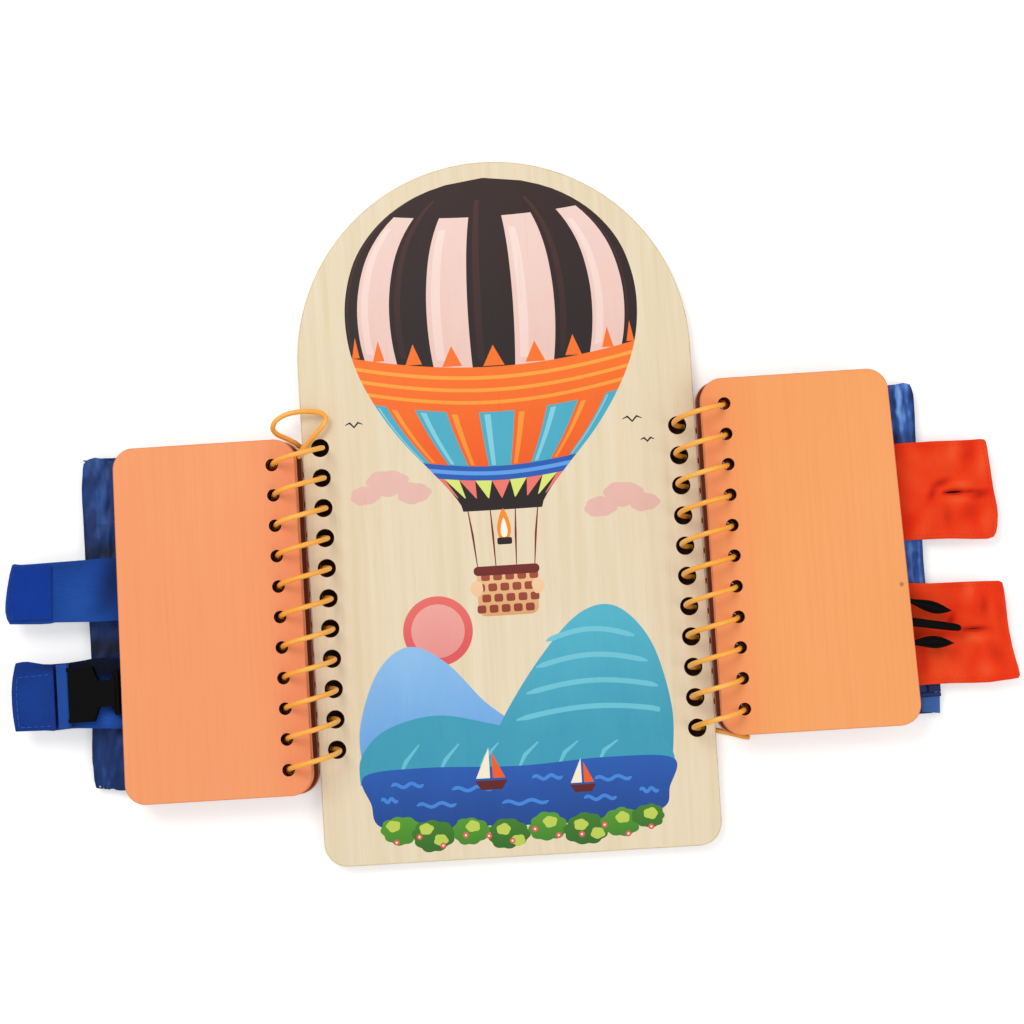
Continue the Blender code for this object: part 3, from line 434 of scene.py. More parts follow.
FINISHES = {
    "birch": birch_finish(),
    "birch_edge": edge_finish("birch_edge", "#E3CDA4", "#CBAA78", "#A9794A"),
    "page_edge": edge_finish("page_edge", "#F3A06C", "#E8895A", "#D0683C"),
    "hole": hole_finish(),
    "left_page_top": page_finish(LEFT),
    "right_page_top": page_finish(RIGHT),
    "left_page_lower": page_finish(LEFT, True),
    "right_page_lower": page_finish(RIGHT, True),
    "coil": coil_finish(),
    "shirt": woven_finish("orange_cotton", "#FF3006", "#FF4C18", 0.5, 0.04, cloud_share=0.8, fuzz=0.12,
                          painted_light_colours=("#FF642E", "#AE1000")),
    # Painted shade: the dark cloth under each buttonhole
    "shirt_shade": woven_finish("orange_painted_shade_sheet", "#4A0A04", "#6A1206", 0.5, 0.0),
    "shirt_thread": woven_finish("orange_thread", "#E22E0A", "#F0441A", 0.3, 0.05),
    "webbing": woven_finish("blue_webbing", "#123F9A", "#1B50B2", 0.5, 0.05, ribs=1.1, fuzz=0.25),
    "strap": woven_finish("blue_strap", "#1648A2", "#215BBA", 0.45, 0.05, ribs=0.9, fuzz=0.25,
                          painted_light_colours=("#2E6CCC", "#0A1C4A")),
    "strap_dark": woven_finish("deep_blue_strap", "#0A3A94", "#1149A8", 0.45, 0.04, ribs=0.9, fuzz=0.25,
                               painted_light_colours=("#2F6AD0", "#020A22")),
    "pale_webbing": woven_finish("pale_blue_webbing", "#1F52AE", "#2A62C4", 0.5, 0.08, ribs=0.9, fuzz=0.25),
    "blue_thread": woven_finish("blue_thread", "#17347C", "#2552AC", 0.3),
    "pale_thread": woven_finish("pale_blue_thread", "#3560B4", "#4A78CC", 0.3),
    "hook": woven_finish("hook_tape", "#06379A", "#0A40A8", 0.7, 0.03, fuzz=0.35),
    "loop": pile_finish("loop_tape", "#1B3F92", "#3A68C8"),
    "dark_satin": satin_finish("dark_satin", "#0C2A64", "#1A468C", ("#3C6CBC", "#04102A"), 0.3),
    "vest_satin": satin_finish("vest_satin", "#14316F", "#264C98", ("#4A78C8", "#0A1838")),
    "light_satin": satin_finish("light_satin", "#17408E", "#4A80D4", ("#84B8FF", "#0C2050"), 0.8),
    "film": plastic_finish("tape_end_film", "#214A90", "#3868B0", 0.36, 0.03, 0.3),
    "zip_teeth": plastic_finish("zip_plastic", "#14306E", "#224590", 0.34, 0.02),
    "denim": denim_finish(),
    "denim_thread": woven_finish("ochre_thread", "#C98A3A", "#E2AE5C", 0.3),
    "buckle": plastic_finish("black_plastic", "#020202", "#050505", 0.5, 0.04, 0.07),
    "button": plastic_finish("button_plastic", "#E9B52C", "#F3CB52", 0.25, 0.01),
    "enamel": plastic_finish("enamelled_metal", "#081A4C", "#0E2668", 0.34, 0.02, 0.25),
}


# Mesh helpers

def clamp(value, low=0, high=1):
    return min(max(value, low), high)


def hump(value, centre, width, power=2):
    """1 at the centre, and next to nothing from twice the width on."""
    return math.exp(-((value - centre) / width) ** power)


def arc(centre, radius, start, end, steps):
    angles = np.radians(np.linspace(start, end, steps + 1))
    return [(centre[0] + radius * math.cos(t), centre[1] + radius * math.sin(t)) for t in angles]


def circle(centre, radius, sides):
    return arc(centre, radius, 0, 360, sides)[:-1]


def rounded_box(low, high, radius, steps=10):
    (a, b), (c, d) = low, high
    points = arc((c - radius, b + radius), radius, -90, 0, steps)
    points += arc((c - radius, d - radius), radius, 0, 90, steps)
    points += arc((a + radius, d - radius), radius, 90, 180, steps)
    return points + arc((a + radius, b + radius), radius, 180, 270, steps)


def catmull(points, per, closed=False):
    """Dense points of a smooth curve through the given ones."""
    p = [np.array(q, float) for q in points]
    count = len(p)
    at = (lambda k: p[k % count]) if closed else (lambda k: p[clamp(k, 0, count - 1)])
    out = []
    for k in range(count if closed else count - 1):
        a, b, c, d = at(k - 1), at(k), at(k + 1), at(k + 2)
        for t in np.arange(per) / per:
            out.append(0.5 * (2 * b + (c - a) * t + (2 * a - 5 * b + 4 * c - d) * t * t
                              + (3 * b - a - 3 * c + d) * t ** 3))
    if not closed:
        out.append(p[-1])
    return [tuple(q) for q in out]


def wobble(x, y, seed, scale=1.0):
    """Smooth noise from -1 to 1 at a place in mm."""
    return noise.noise(Vector((x * scale, y * scale, seed * 7.31)))


def piece(name, mesh, finishes, body, slot=None, smooth=35, subdivide=0, weighted=False):
    """An object from a bmesh in metres, riding on a body where one is given."""
    bmesh.ops.recalc_face_normals(mesh, faces=mesh.faces)
    data = bpy.data.meshes.new(name)
    mesh.to_mesh(data)
    mesh.free()
    thing = link(bpy.data.objects.new(name, data))
    for key in finishes if isinstance(finishes, (list, tuple)) else [finishes]:
        data.materials.append(FINISHES[key].material)
    data.shade_smooth()
    if smooth:
        data.set_sharp_from_angle(angle=math.radians(smooth))
    if subdivide:
        step = thing.modifiers.new("subdivide", "SUBSURF")
        step.levels = step.render_levels = subdivide
    if weighted:
        step = thing.modifiers.new("normals", "WEIGHTED_NORMAL")
        step.keep_sharp = True
    if body:
        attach(thing, body)
    return thing


def skin(mesh, rows, material=0):
    """Joins each closed row of vertices to the next."""
    for near, far in zip(rows[:-1], rows[1:]):
        for k in range(len(near)):
            m = (k + 1) % len(near)
            mesh.faces.new((near[k], near[m], far[m], far[k])).material_index = material


def loft(mesh, rings):
    """Joins rings of places in mm, each with as many points, to a closed skin."""
    rows = [[mesh.verts.new(Vector(q) * MM) for q in ring] for ring in rings]
    skin(mesh, rows)
    mesh.faces.new(rows[0][::-1])
    mesh.faces.new(rows[-1])


def tube(mesh, points, radius, sides=12):
    """A round wire along places in mm."""
    p = [Vector(q) for q in points]
    normal = None
    rings = []
    for k, q in enumerate(p):
        ahead = (p[min(k + 1, len(p) - 1)] - p[max(k - 1, 0)]).normalized()
        if normal is None:
            normal = ahead.orthogonal().normalized()
        normal = (normal - ahead * normal.dot(ahead)).normalized()
        other = ahead.cross(normal)
        r = radius(k / (len(p) - 1)) if callable(radius) else radius
        rings.append([q + (normal * math.cos(t) + other * math.sin(t)) * r
                      for t in np.arange(sides) * 2 * math.pi / sides])
    loft(mesh, rings)


def plate(name, outline, holes, low, high, bevel, finishes, body, slot, top=None):
    """A board with rounded edges: outline(inset) gives its points, holes are (x, y, radius, sides)."""
    mesh = bmesh.new()
    turns = [(1, 0), (0.62, 0.08), (0.29, 0.29), (0.08, 0.62), (0, 1)]
    steps = [(inset * bevel, high - drop * bevel) for inset, drop in turns]
    steps += [(inset * bevel, low + drop * bevel) for inset, drop in reversed(turns)]
    loops = [outline]
    loops += [lambda inset, h=h: circle((h[0], h[1]), h[2] + inset, h[3]) for h in holes]
    first, last = [], []
    for n, loop in enumerate(loops):
        rows = [[mesh.verts.new(Vector((x, y, z)) * MM) for x, y in loop(inset)] for inset, z in steps]
        skin(mesh, rows, 1 if n == 0 else 2)
        first.append(rows[0])
        last.append(rows[-1])
    sides = [last] if top else [first, last]
    for side in sides:
        edges = [mesh.edges.get(pair) for row in side for pair in zip(row, row[1:] + row[:1])]
        filled = bmesh.ops.triangle_fill(mesh, use_beauty=True, use_dissolve=False, edges=edges)
        for part in filled["geom"]:
            if isinstance(part, bmesh.types.BMFace):
                part.material_index = 0
    if top:
        top(mesh, first, high)
    return piece(name, mesh, finishes, body, slot, smooth=50, weighted=True)


# The printed board

def board_outline(inset):
    half, r = BOARD_HALF - inset, BOARD_CORNER - inset
    foot = BOARD_FOOT + inset
    points = arc((half - r, foot + r), r, -90, 0, 10)
    points += arc((0, BOARD_CROWN), half, 0, 180, 96)
    return points + arc((r - half, foot + r), r, 180, 270, 10)


ENVELOPE = [
    (143, 0), (141.5, 14), (136, 31), (126, 46), (112, 57), (95, 62.5), (78, 63), (62, 59.5), (46, 52),
    (31, 42), (17, 30), (7, 21.5), (0, 17),
]
SMOOTH_ENVELOPE = catmull(sorted(ENVELOPE), 8)


def half_width(y):
    return float(np.interp(y, [r[0] for r in SMOOTH_ENVELOPE], [r[1] for r in SMOOTH_ENVELOPE]))


def envelope_point(s, y):
    """A place on the balloon: s from -1 to 1 across it, y along its middle."""
    belly = math.sin(math.pi * clamp((y + 2) / 146))
    level = y - 7.5 * (1 - s * s) * belly + 5.0 * belly
    return s * half_width(min(level, 143)), level


def envelope_patch(s0, s1, y0, y1, steps=22):
    """The balloon's region between two meridians and two levels."""
    across = np.linspace(s0, s1, max(3, int(abs(s1 - s0) * 16)))
    up = np.linspace(y0, y1, steps)
    points = [envelope_point(s, y0) for s in across]
    points += [envelope_point(s1, y) for y in up[1:]]
    points += [envelope_point(s, y1) for s in across[::-1][1:]]
    return points + [envelope_point(s0, y) for y in up[::-1][1:-1]]


def blob(centre, size, lumps, depth, seed, squash=1.0, steps=48):
    """A leafy or cloudy round shape."""
    points = []
    for k in range(steps):
        t = 2 * math.pi * k / steps
        r = size * (1 + depth * abs(math.sin(t * lumps / 2 + seed)) + 0.05 * math.sin(3 * t + seed))
        points.append((centre[0] + r * math.cos(t), centre[1] + r * math.sin(t) * squash))
    return points


def ribbon(points, width):
    """A stroke with a round-ended body along points."""
    p = np.array(points, float)
    ahead = np.gradient(p, axis=0)
    ahead /= np.linalg.norm(ahead, axis=1)[:, None]
    side = np.stack([-ahead[:, 1], ahead[:, 0]], axis=1)
    taper = np.ones(len(p))
    taper[0] = taper[-1] = 0.35
    half = (width / 2) * taper[:, None]
    return [tuple(q) for q in p - side * half] + [tuple(q) for q in (p + side * half)[::-1]]


def hill(left, right, base, peaks, per=8):
    """A hill from a level base, over its peaks, with round ends."""
    ridge = [(left, base)] + list(peaks) + [(right, base)]
    top = catmull(ridge, per)
    return [(left, base - 0.01)] + top[1:-1] + [(right, base - 0.01)]


def print_shapes():
    """Outlines with the ink of each, the lowest first."""
    shapes = []
    add = lambda outline, colour: shapes.append((outline, colour))
    # far clouds
    for x, y, size, seed in ((-49, 13, 8.5, 0.4), (-38, 8, 7, 1.3), (-59, 8, 6, 2.1),
                             (52, 2, 8, 0.9), (61, -2, 6, 1.8), (42, -3, 6.5, 2.6)):
        add(blob((x, y), size, 7, 0.10, seed, 0.62), "blush")
    # the low sun and the far hills
    add(circle((-31, -52), 15, 48), "coral")
    add(circle((-31, -52), 11.5, 44), "rose")
    add(hill(-66, 20, -112, [(-67, -92), (-58, -68), (-44, -58), (-28, -66), (-12, -84), (6, -98)]), "sky")
    add(hill(-14, 66, -112, [(-6, -92), (12, -66), (30, -48), (46, -46), (60, -62), (67, -90)]), "teal")
    # terraces on the right hill
    for k in range(4):
        y = -60 - 11 * k
        reach = 25 + 6.5 * k
        row = [(min(34 + (a - 0.5) * 2 * reach * 0.86, 62 - 0.2 * k), y + 5 * math.sin(math.pi * a))
               for a in np.linspace(0.06, 0.94, 16)]
        add(ribbon(row, 2.2), "teal_light")
    # the near hill, with rows of furrows
    ridge = [(-67, -104), (-56, -93), (-34, -88), (-10, -93), (14, -100), (38, -98), (60, -102), (66, -109)]
    add(hill(-68, 67, -116, ridge), "teal_mid")
    for k in range(6):
        x = -52 + 17 * k
        add(ribbon([(x, -114.5), (x + 4, -107), (x + 10, -100 - 0.6 * k)], 1.8), "teal_light")
    # the lake and its ripples
    shore = [(-66, -112), (-40, -110), (0, -111.5), (38, -110), (66, -112), (64, -124), (58, -134),
             (20, -137), (-20, -136), (-58, -135), (-64, -124)]
    add(catmull(shore, 8, True), "navy")
    for x, y, long in ((-48, -117, 14), (-20, -120, 18), (12, -117, 13), (40, -119, 16), (-36, -126, 17),
                       (2, -127, 20), (34, -127, 14), (-56, -123, 7), (55, -125, 8)):
        wave = [(x + (a - 0.5) * long, y + 0.8 * math.sin(a * 4 * math.pi)) for a in np.linspace(0, 1, 15)]
        add(ribbon(wave, 1.5), "azure")
    # two sails on the lake
    for x, y, size in ((-12, -117, 1.0), (27, -121, 0.8)):
        for colour, points in (("brick", [(-7, 0), (7, 0), (4.5, -4), (-4.5, -4)]),
                               ("cream", [(-0.5, 1), (-0.5, 14), (-6.5, 1)]),
                               ("orange", [(0.7, 1), (0.7, 12), (6, 1)])):
            add([(x + a * size, y + b * size) for a, b in points], colour)
    # bushes along the bottom
    bushes = [(-52, -136, 9), (-38, -139, 10), (-22, -138, 8.5), (-6, -140, 9.5), (11, -138, 9),
              (27, -140, 10), (42, -138, 9), (54, -136, 7.5)]
    for k, (x, y, size) in enumerate(bushes):
        add(blob((x, y), size * 0.86, 9, 0.12, k * 0.7, 0.72), "leaf" if k % 2 else "fern")
    tufts = [(-55, -134), (-41, -136), (-35, -141), (-21, -136), (-8, -138), (-2, -143), (12, -136),
             (25, -138), (32, -142), (43, -136), (55, -135)]
    for k, (x, y) in enumerate(tufts):
        add(blob((x, y), 2.7, 5, 0.18, k * 1.1, 0.8, 24), "lime")
    for k in range(12):
        x = -54 + 9.9 * k
        y = -141 + 2.4 * math.sin(k * 2.3)
        add(circle((x, y), 1.25, 14), "coral")
        add(circle((x, y), 0.5, 8), "cream")
    # ropes, under the envelope
    for s in (-1, -0.36, 0.36, 1):
        add(ribbon([(s * 15.5, 2), (s * 13.6, -12), (s * 12.2, -27)], 0.9), "brick")
    # the envelope
    add(envelope_patch(-1, 1, -1.5, 143, 60), "umber")
    cuts = [math.sin(math.radians(a)) for a in (-90, -66, -44, -26, -9, 9, 26, 44, 66, 90)]
    gores = list(zip(cuts[:-1], cuts[1:]))
    for k, (s0, s1) in enumerate(gores):
        if k % 2:
            add(envelope_patch(s0, s1, 60, 127), "blush")
            add(envelope_patch(s0 + (s1 - s0) * 0.12, s0 + (s1 - s0) * 0.34, 66, 122), "blush_light")
        else:
            add(envelope_patch(s0 + (s1 - s0) * 0.14, s0 + (s1 - s0) * 0.3, 66, 134), "umber_light")
        add(envelope_patch(s0, s1, 17, 44), "orange" if k % 2 else "teal_mid")
        add(envelope_patch(s0 + (s1 - s0) * 0.14, s0 + (s1 - s0) * 0.32, 19, 42),
            "amber" if k % 2 else "teal_light")
    add(envelope_patch(-1, 1, 43, 63), "orange")
    for y in (46.5, 52, 57.5):
        add(envelope_patch(-1, 1, y, y + 1.6, 3), "amber")
    for s0, s1 in gores:
        s = (s0 + s1) / 2
        x, y = envelope_point(s, 67.5)
        half = 4.6 * (1 - s * s * 0.7)
        add([(x - half, y - 4), (x + half, y - 4), (x, y + 5)], "orange")
    add(envelope_patch(-1, 1, 12, 18.5), "navy")
    add(envelope_patch(-1, 1, 14.4, 16.2, 3), "azure")
    for k, (s0, s1) in enumerate(gores):
        a, b = envelope_point(s0, 12), envelope_point(s1, 12)
        low = envelope_point((s0 + s1) / 2, 4)
        add([a, (low[0] - 0.2, low[1]), (low[0] + 0.2, low[1]), b], "lime" if k % 2 else "coral")
    # the burner's flame and the basket
    flame = [(-2.4, -13), (-2.8, -8), (0, -1), (2.8, -8), (2.4, -13), (0, -14.5)]
    core = [(-1.2, -12.5), (-1.4, -9.5), (0, -5), (1.4, -9.5), (1.2, -12.5), (0, -13.4)]
    add(catmull(flame, 5, True), "amber")
    add(catmull(core, 5, True), "cream")
    add(rounded_box((-3.2, -16.5), (3.2, -13.5), 0.8, 3), "umber")
    add(rounded_box((-13, -47), (13, -27), 3.5, 5), "tan")
    for row in range(4):
        for k in range(5):
            x = -10.4 + 5.2 * k + (1.3 if row % 2 else -1.3) * 0.9
            y = 4.6 * row
            add(rounded_box((x - 1.9, -45.6 + y), (x + 1.9, -42.2 + y), 0.9, 3), "brick_light")
    add(rounded_box((-14.2, -29.5), (14.2, -25.5), 1.9, 4), "brick")
    for x in (-13.2, 13.2):
        add(blob((x, -35), 2.6, 5, 0.1, x, 1.2, 24), "tan_light")
    # three gulls far off
    for x, y, size in ((58, 33, 1.0), (-62, 38, 0.9), (64, 24, 0.7)):
        wings = [(-4.2, 1.2), (-2, 2.2), (0, 0), (2, 2.2), (4.2, 1.2)]
        add(ribbon([(x + a * size, y + b * size) for a, b in wings], 0.9), "umber")
    return shapes


INKS = {
    "umber": ("#1A0808", "#2A0F0C", 60, 140), "umber_light": ("#2C110E", "#45201A", 60, 140),
    "blush": ("#E3B3A6", "#F0CFC4", -10, 130), "blush_light": ("#EFCBC0", "#F6DDD4", 40, 130),
    "rose": ("#E58F88", "#EDA79C", -66, -38), "coral": ("#DE5558", "#EA7468", -60, -30),
    "orange": ("#EE5A0C", "#F5701A", 20, 60), "amber": ("#F28A22", "#F6A13A", 20, 60),
    "teal": ("#2E93AF", "#4FB2C8", -110, -46), "teal_mid": ("#3598B3", "#45A9C2", -114, 40),
    "teal_light": ("#62BDD0", "#7FCBDA", -110, 40), "sky": ("#5B9BDD", "#8CBDE8", -112, -60),
    "navy": ("#0F3F8C", "#1A57AE", -136, -110), "azure": ("#3A7FD4", "#5C9BE4", -136, 20),
    "fern": ("#3B7D1A", "#559A26", -146, -130), "leaf": ("#2C661A", "#407F20", -146, -130),
    "lime": ("#B9CC4E", "#D9E473", -146, 10), "brick": ("#5E1210", "#7C2218", -50, 0),
    "brick_light": ("#8A3322", "#A34A30", -48, -26), "tan": ("#D99F66", "#EDBE8A", -48, -26),
    "tan_light": ("#E9B987", "#F2CFA4", -48, -26), "cream": ("#F4E6CC", "#FBF3E2", -130, 0),
}
for key, (deep, light, start, end) in INKS.items():
    FINISHES["ink_" + key] = ink_finish(key, deep, light, start, end)
INK_NAMES = sorted(INKS)


def printed_top(mesh, loops, high):
    """Fills the board's face with the print's outlines cut into it, each region in its ink."""
    places, polygons, edge_rows = [], [], []

    def ring(points):
        start = len(places)
        places.extend(Vector((x, y)) for x, y in points)
        return list(range(start, len(places)))

    for row in loops:
        ids = ring([(v.co.x / MM, v.co.y / MM) for v in row])
        edge_rows.append(ids)
        polygons.append(ids)
    shapes = print_shapes()
    for outline, _ in shapes:
        area = sum(a[0] * b[1] - b[0] * a[1] for a, b in zip(outline, outline[1:] + outline[:1]))
        polygons.append(ring(outline if area > 0 else outline[::-1]))
    points, _, faces, origins, _, owners = delaunay_2d_cdt(places, [], polygons, 1, 0.004)
    rim = {}
    for row, ids in zip(loops, edge_rows):
        for vert, k in zip(row, ids):
            rim[k] = vert
    verts = []
    for point, source in zip(points, origins):
        known = [rim[k] for k in source if k in rim]
        verts.append(known[0] if known else mesh.verts.new((point.x * MM, point.y * MM, high * MM)))
    first_shape = len(loops)
    for face, owner in zip(faces, owners):
        if 0 not in owner or any(0 < k < first_shape for k in owner):
            continue
        corners = [verts[k] for k in face]
        if len(set(corners)) < 3 or mesh.faces.get(corners):
            continue
        top = max(owner)
        ink_index = 0 if top < first_shape else 3 + INK_NAMES.index(shapes[top - first_shape][1])
        mesh.faces.new(corners).material_index = ink_index


def board():
    low, high = span("main_board")
    holes = [(side * BOARD_HOLE_X, FIRST_HOLE_Y + n * HOLE_PITCH, BOARD_HOLE / 2, 36)
             for side in (LEFT, RIGHT) for n in range(HOLE_COUNT)]
    finishes = ["birch", "birch_edge", "hole"] + ["ink_" + key for key in INK_NAMES]
    thing = plate("board_body", board_outline, holes, low.z, high.z, 0.45, finishes, "board", "birch",
                  printed_top)
    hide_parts("main_board")


# Pages

def fan(side, y):
    out, lean = FAN[side]
    return out + lean * (y - PAGE_MID[side])


def fanned(side, x, y, most):
    """A place on a page, moved with the page's leaning edge, and outwards by so much at most."""
    share = clamp((side * x - FAN_START) / (EDGE_X - FAN_START))
    return x + side * min(most, fan(side, y)) * share, y


def pages():
    for side, word in SIDES.items():
        for number in (1, 2, 3):
            node = f"{word}_page_{number}"
            low, high = span(node)
            mid = PAGE_MID[side]

            def outline(inset, low=low, high=high, side=side, most=math.inf if number == 1 else 0):
                box = rounded_box((low.x + inset, low.y + inset), (high.x - inset, high.y - inset),
                                  PAGE_CORNER - inset, 14)
                return [fanned(side, x, y, most) for x, y in box]

            first = mid - (HOLE_COUNT - 1) / 2 * HOLE_PITCH
            hole_x = PAGE_HOLE_X - (LAST_PAGE_SHIFT if number == 3 else 0)
            holes = [(side * hole_x, first + n * HOLE_PITCH, PAGE_HOLE / 2, 28) for n in range(HOLE_COUNT)]
            paint = f"{word}_page_top" if number == 1 else f"{word}_page_lower"
            thing = plate(f"{node}_wood", outline, holes, low.z, high.z, 0.35, [paint, "page_edge", "hole"],
                          f"{word}_leaf_{number}", "page")
            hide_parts(node)


# Coils

WIRE = 1.1
TURN = [
    (-9.5, -0.02, 3.2), (-10.7, 0.0, 5.8), (-11.5, 0.02, 9.0), (-11.6, 0.05, 12.6), (-10.9, 0.09, 16.4),
    (-8.8, 0.15, 20.2), (-5.3, 0.22, 23.3), (-0.9, 0.30, 24.8), (3.3, 0.37, 23.8), (6.7, 0.43, 21.0),
    (8.9, 0.48, 17.4), (9.8, 0.52, 13.9), (10.0, 0.54, 10.6), (9.8, 0.55, 7.6), (9.2, 0.56, 4.6),
    (8.1, 0.58, 1.6), (6.2, 0.62, -0.7), (3.0, 0.68, -1.4), (-1.5, 0.82, -1.4), (-5.2, 0.92, -1.35),
    (-7.7, 0.97, 0.2),
]
FREE_LOOP = [
    (-0.6, -3.9, 5.3), (-1.2, -1.6, 6.6), (-3.4, 0.4, 7.5), (-7.6, 4.6, 8.4), (-11.6, 8.5, 9.0),
    (-13.6, 12.0, 9.0), (-11.8, 14.6, 9.3), (-7.2, 15.6, 9.7), (-1.6, 15.7, 10.2), (3.8, 14.7, 10.2),
    (8.0, 12.4, 9.7), (9.6, 9.4, 8.0), (8.0, 7.0, 5.9), (4.6, 5.3, 3.3), (1.0, 3.25, 0.8),
    (-1.0, 1.7, -1.4),
]
TAIL = [(12.4, 5.7, -0.7), (10.0, 5.2, -1.3), (5.0, 3.6, -1.4), (0.0, 2.2, -1.4)]


def coil_points(start):
    """A coil's route from its loose end: across, along and height, in mm."""
    points = [(u, -v, z) for u, v, z in start]
    points += [(u, (v - 1) * HOLE_PITCH, z) for u, v, z in TURN[-2:]]
    for n in range(HOLE_COUNT):
        last = n == HOLE_COUNT - 1
        points += [(u, (n + v) * HOLE_PITCH, z) for u, v, z in (TURN[:-3] if last else TURN)]
    return catmull(points, 4)


def coils():
    for side, word, start in ((LEFT, "left", FREE_LOOP), (RIGHT, "right", TAIL)):
        first = FIRST_HOLE_Y if side == RIGHT else FIRST_HOLE_Y + (HOLE_COUNT - 1) * HOLE_PITCH
        floor_z = cad_box[0][2] / MM + WIRE
        route = [(side * (RING_X + u), first + side * v, max(z, floor_z)) for u, v, z in coil_points(start)]
        mesh = bmesh.new()
        tube(mesh, route, lambda t: WIRE * min(1, 0.72 + 900 * min(t, 1 - t)), 14)
        thing = piece(f"{word}_coil_wire", mesh, "coil", "board", "coil", smooth=60)
        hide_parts(f"{word}_coil")


# Cloth helpers

def on_page(side, out, up, z):
    """A place given out from the page's edge and up from its middle."""
    return side * (EDGE_X + out), PAGE_MID[side] + up, z


def on_left(out, up, z):
    return on_page(LEFT, out, up, z)


def on_right(out, up, z):
    return on_page(RIGHT, out, up, z)


def shade(thing, side, rule):
    """Stores painted light and shade on the cloth, from -1 (painted shade) to 1 (painted light), at each
    point: a rule of its place out and up the page.
    """
    layer = thing.data.attributes.new("painted_light", "FLOAT", "POINT")
    spots = [(side * v.co.x / MM - EDGE_X, v.co.y / MM - PAGE_MID[side]) for v in thing.data.vertices]
    layer.data.foreach_set("value", [min(1, max(-1, rule(*spot))) for spot in spots])


def folds(rows, x, y):
    """Soft folds and patches: each row is a place, a turn, a half width, a half length and a size."""
    total = 0
    for cx, cy, turn, wide, long, size in rows:
        c, s = math.cos(turn), math.sin(turn)
        total += size * math.exp(-(((x - cx) * c + (y - cy) * s) / wide) ** 2
                                 - (((y - cy) * c - (x - cx) * s) / long) ** 2)
    return total


def inside(points, loop):
    """Which of the points lie within a closed loop."""
    p = np.array(points, float)
    start = np.array(loop, float)
    end = np.roll(start, -1, axis=0)
    x, y = p[:, :1], p[:, 1:]
    rise = np.where(end[:, 1] == start[:, 1], 1e-12, end[:, 1] - start[:, 1])
    crosses = (start[:, 1] > y) != (end[:, 1] > y)
    left = x < start[:, 0] + (y - start[:, 1]) * (end[:, 0] - start[:, 0]) / rise
    return (crosses & left).sum(axis=1) % 2 == 1


def resampled(loop, spacing):
    """Even points along a closed loop."""
    points = []
    for (a, b), (c, d) in zip(loop, loop[1:] + loop[:1]):
        count = max(1, round(math.hypot(c - a, d - b) / spacing))
        points += [(a + (c - a) * k / count, b + (d - b) * k / count) for k in range(count)]
    return points


def inset_loop(loop, distance):
    """A loop moved inwards, or outwards where the distance is negative."""
    p = np.array(loop, float)
    ahead = np.roll(p, -1, axis=0) - np.roll(p, 1, axis=0)
    ahead /= np.maximum(np.linalg.norm(ahead, axis=1), 1e-9)[:, None]
    area = sum(a[0] * b[1] - b[0] * a[1] for a, b in zip(loop, loop[1:] + loop[:1]))
    normal = np.stack([-ahead[:, 1], ahead[:, 0]], axis=1) * (1 if area > 0 else -1)
    return [tuple(q) for q in p + normal * distance]


def soft_plate(mesh, outline, holes, spacing, thick, height, place):
    """A sheet with round edges: height gives its middle at a plan place, place turns both into a point."""
    rim = resampled(outline, spacing)
    slits = [resampled(hole, spacing / 2) for hole in holes]
    soft = min(thick, 1.0) * 0.4
    loops = [rim, inset_loop(rim, soft)]
    for slit in slits:
        loops += [slit, inset_loop(slit, -soft)]
    points, edges = [], []
    for loop in loops:
        start = len(points)
        points += loop
        edges += [(start + k, start + (k + 1) % len(loop)) for k in range(len(loop))]
    low = np.min(rim, axis=0)
    high = np.max(rim, axis=0)
    grown = inset_loop(rim, spacing * 0.9)
    kept_out = [inset_loop(slit, -spacing * 0.9) for slit in slits]
    field = [(x, y) for j, y in enumerate(np.arange(low[1], high[1] + spacing, spacing * 0.87))
             for x in np.arange(low[0] + (j % 2) * spacing / 2, high[0] + spacing, spacing)]
    kept = inside(field, grown)
    for loop in kept_out:
        kept &= ~inside(field, loop)
    points += [(float(x), float(y)) for (x, y), keep in zip(field, kept) if keep]
    found, _, faces, _, _, _ = delaunay_2d_cdt([Vector(q) for q in points], edges, [], 0, 0.001)
    flat = [(q.x, q.y) for q in found]
    rim_set = {(round(x, 3), round(y, 3)) for loop in [rim, *slits] for x, y in loop}
    tops, lows = [], []
    for x, y in flat:
        full = 0.22 if (round(x, 3), round(y, 3)) in rim_set else 0.5
        z = height(x, y)
        tops.append(mesh.verts.new(Vector(place(x, y, z + full * thick)) * MM))
        lows.append(mesh.verts.new(Vector(place(x, y, z - full * thick)) * MM))
    uses = {}
    middles = [np.mean([flat[k] for k in face], axis=0) for face in faces]
    kept = inside(middles, rim)
    for slit in slits:
        kept &= ~inside(middles, slit)
    for face, keep in zip(faces, kept):
        if not keep:
            continue
        mesh.faces.new([tops[k] for k in face])
        mesh.faces.new([lows[k] for k in reversed(face)])
        for a, b in zip(face, face[1:] + face[:1]):
            uses[(a, b)] = True
    for a, b in uses:
        if (b, a) not in uses:
            mesh.faces.new((tops[b], tops[a], lows[a], lows[b]))
    for vert in [v for v in tops + lows if not v.link_faces]:
        mesh.verts.remove(vert)


def soft_piece(name, outline, spacing, thick, height, place, finish, body, slot, holes=(), smooth=60):
    """A sheet as a piece of its own."""
    mesh = bmesh.new()
    soft_plate(mesh, outline, holes, spacing, thick, height, place)
    return piece(name, mesh, finish, body, slot, smooth)


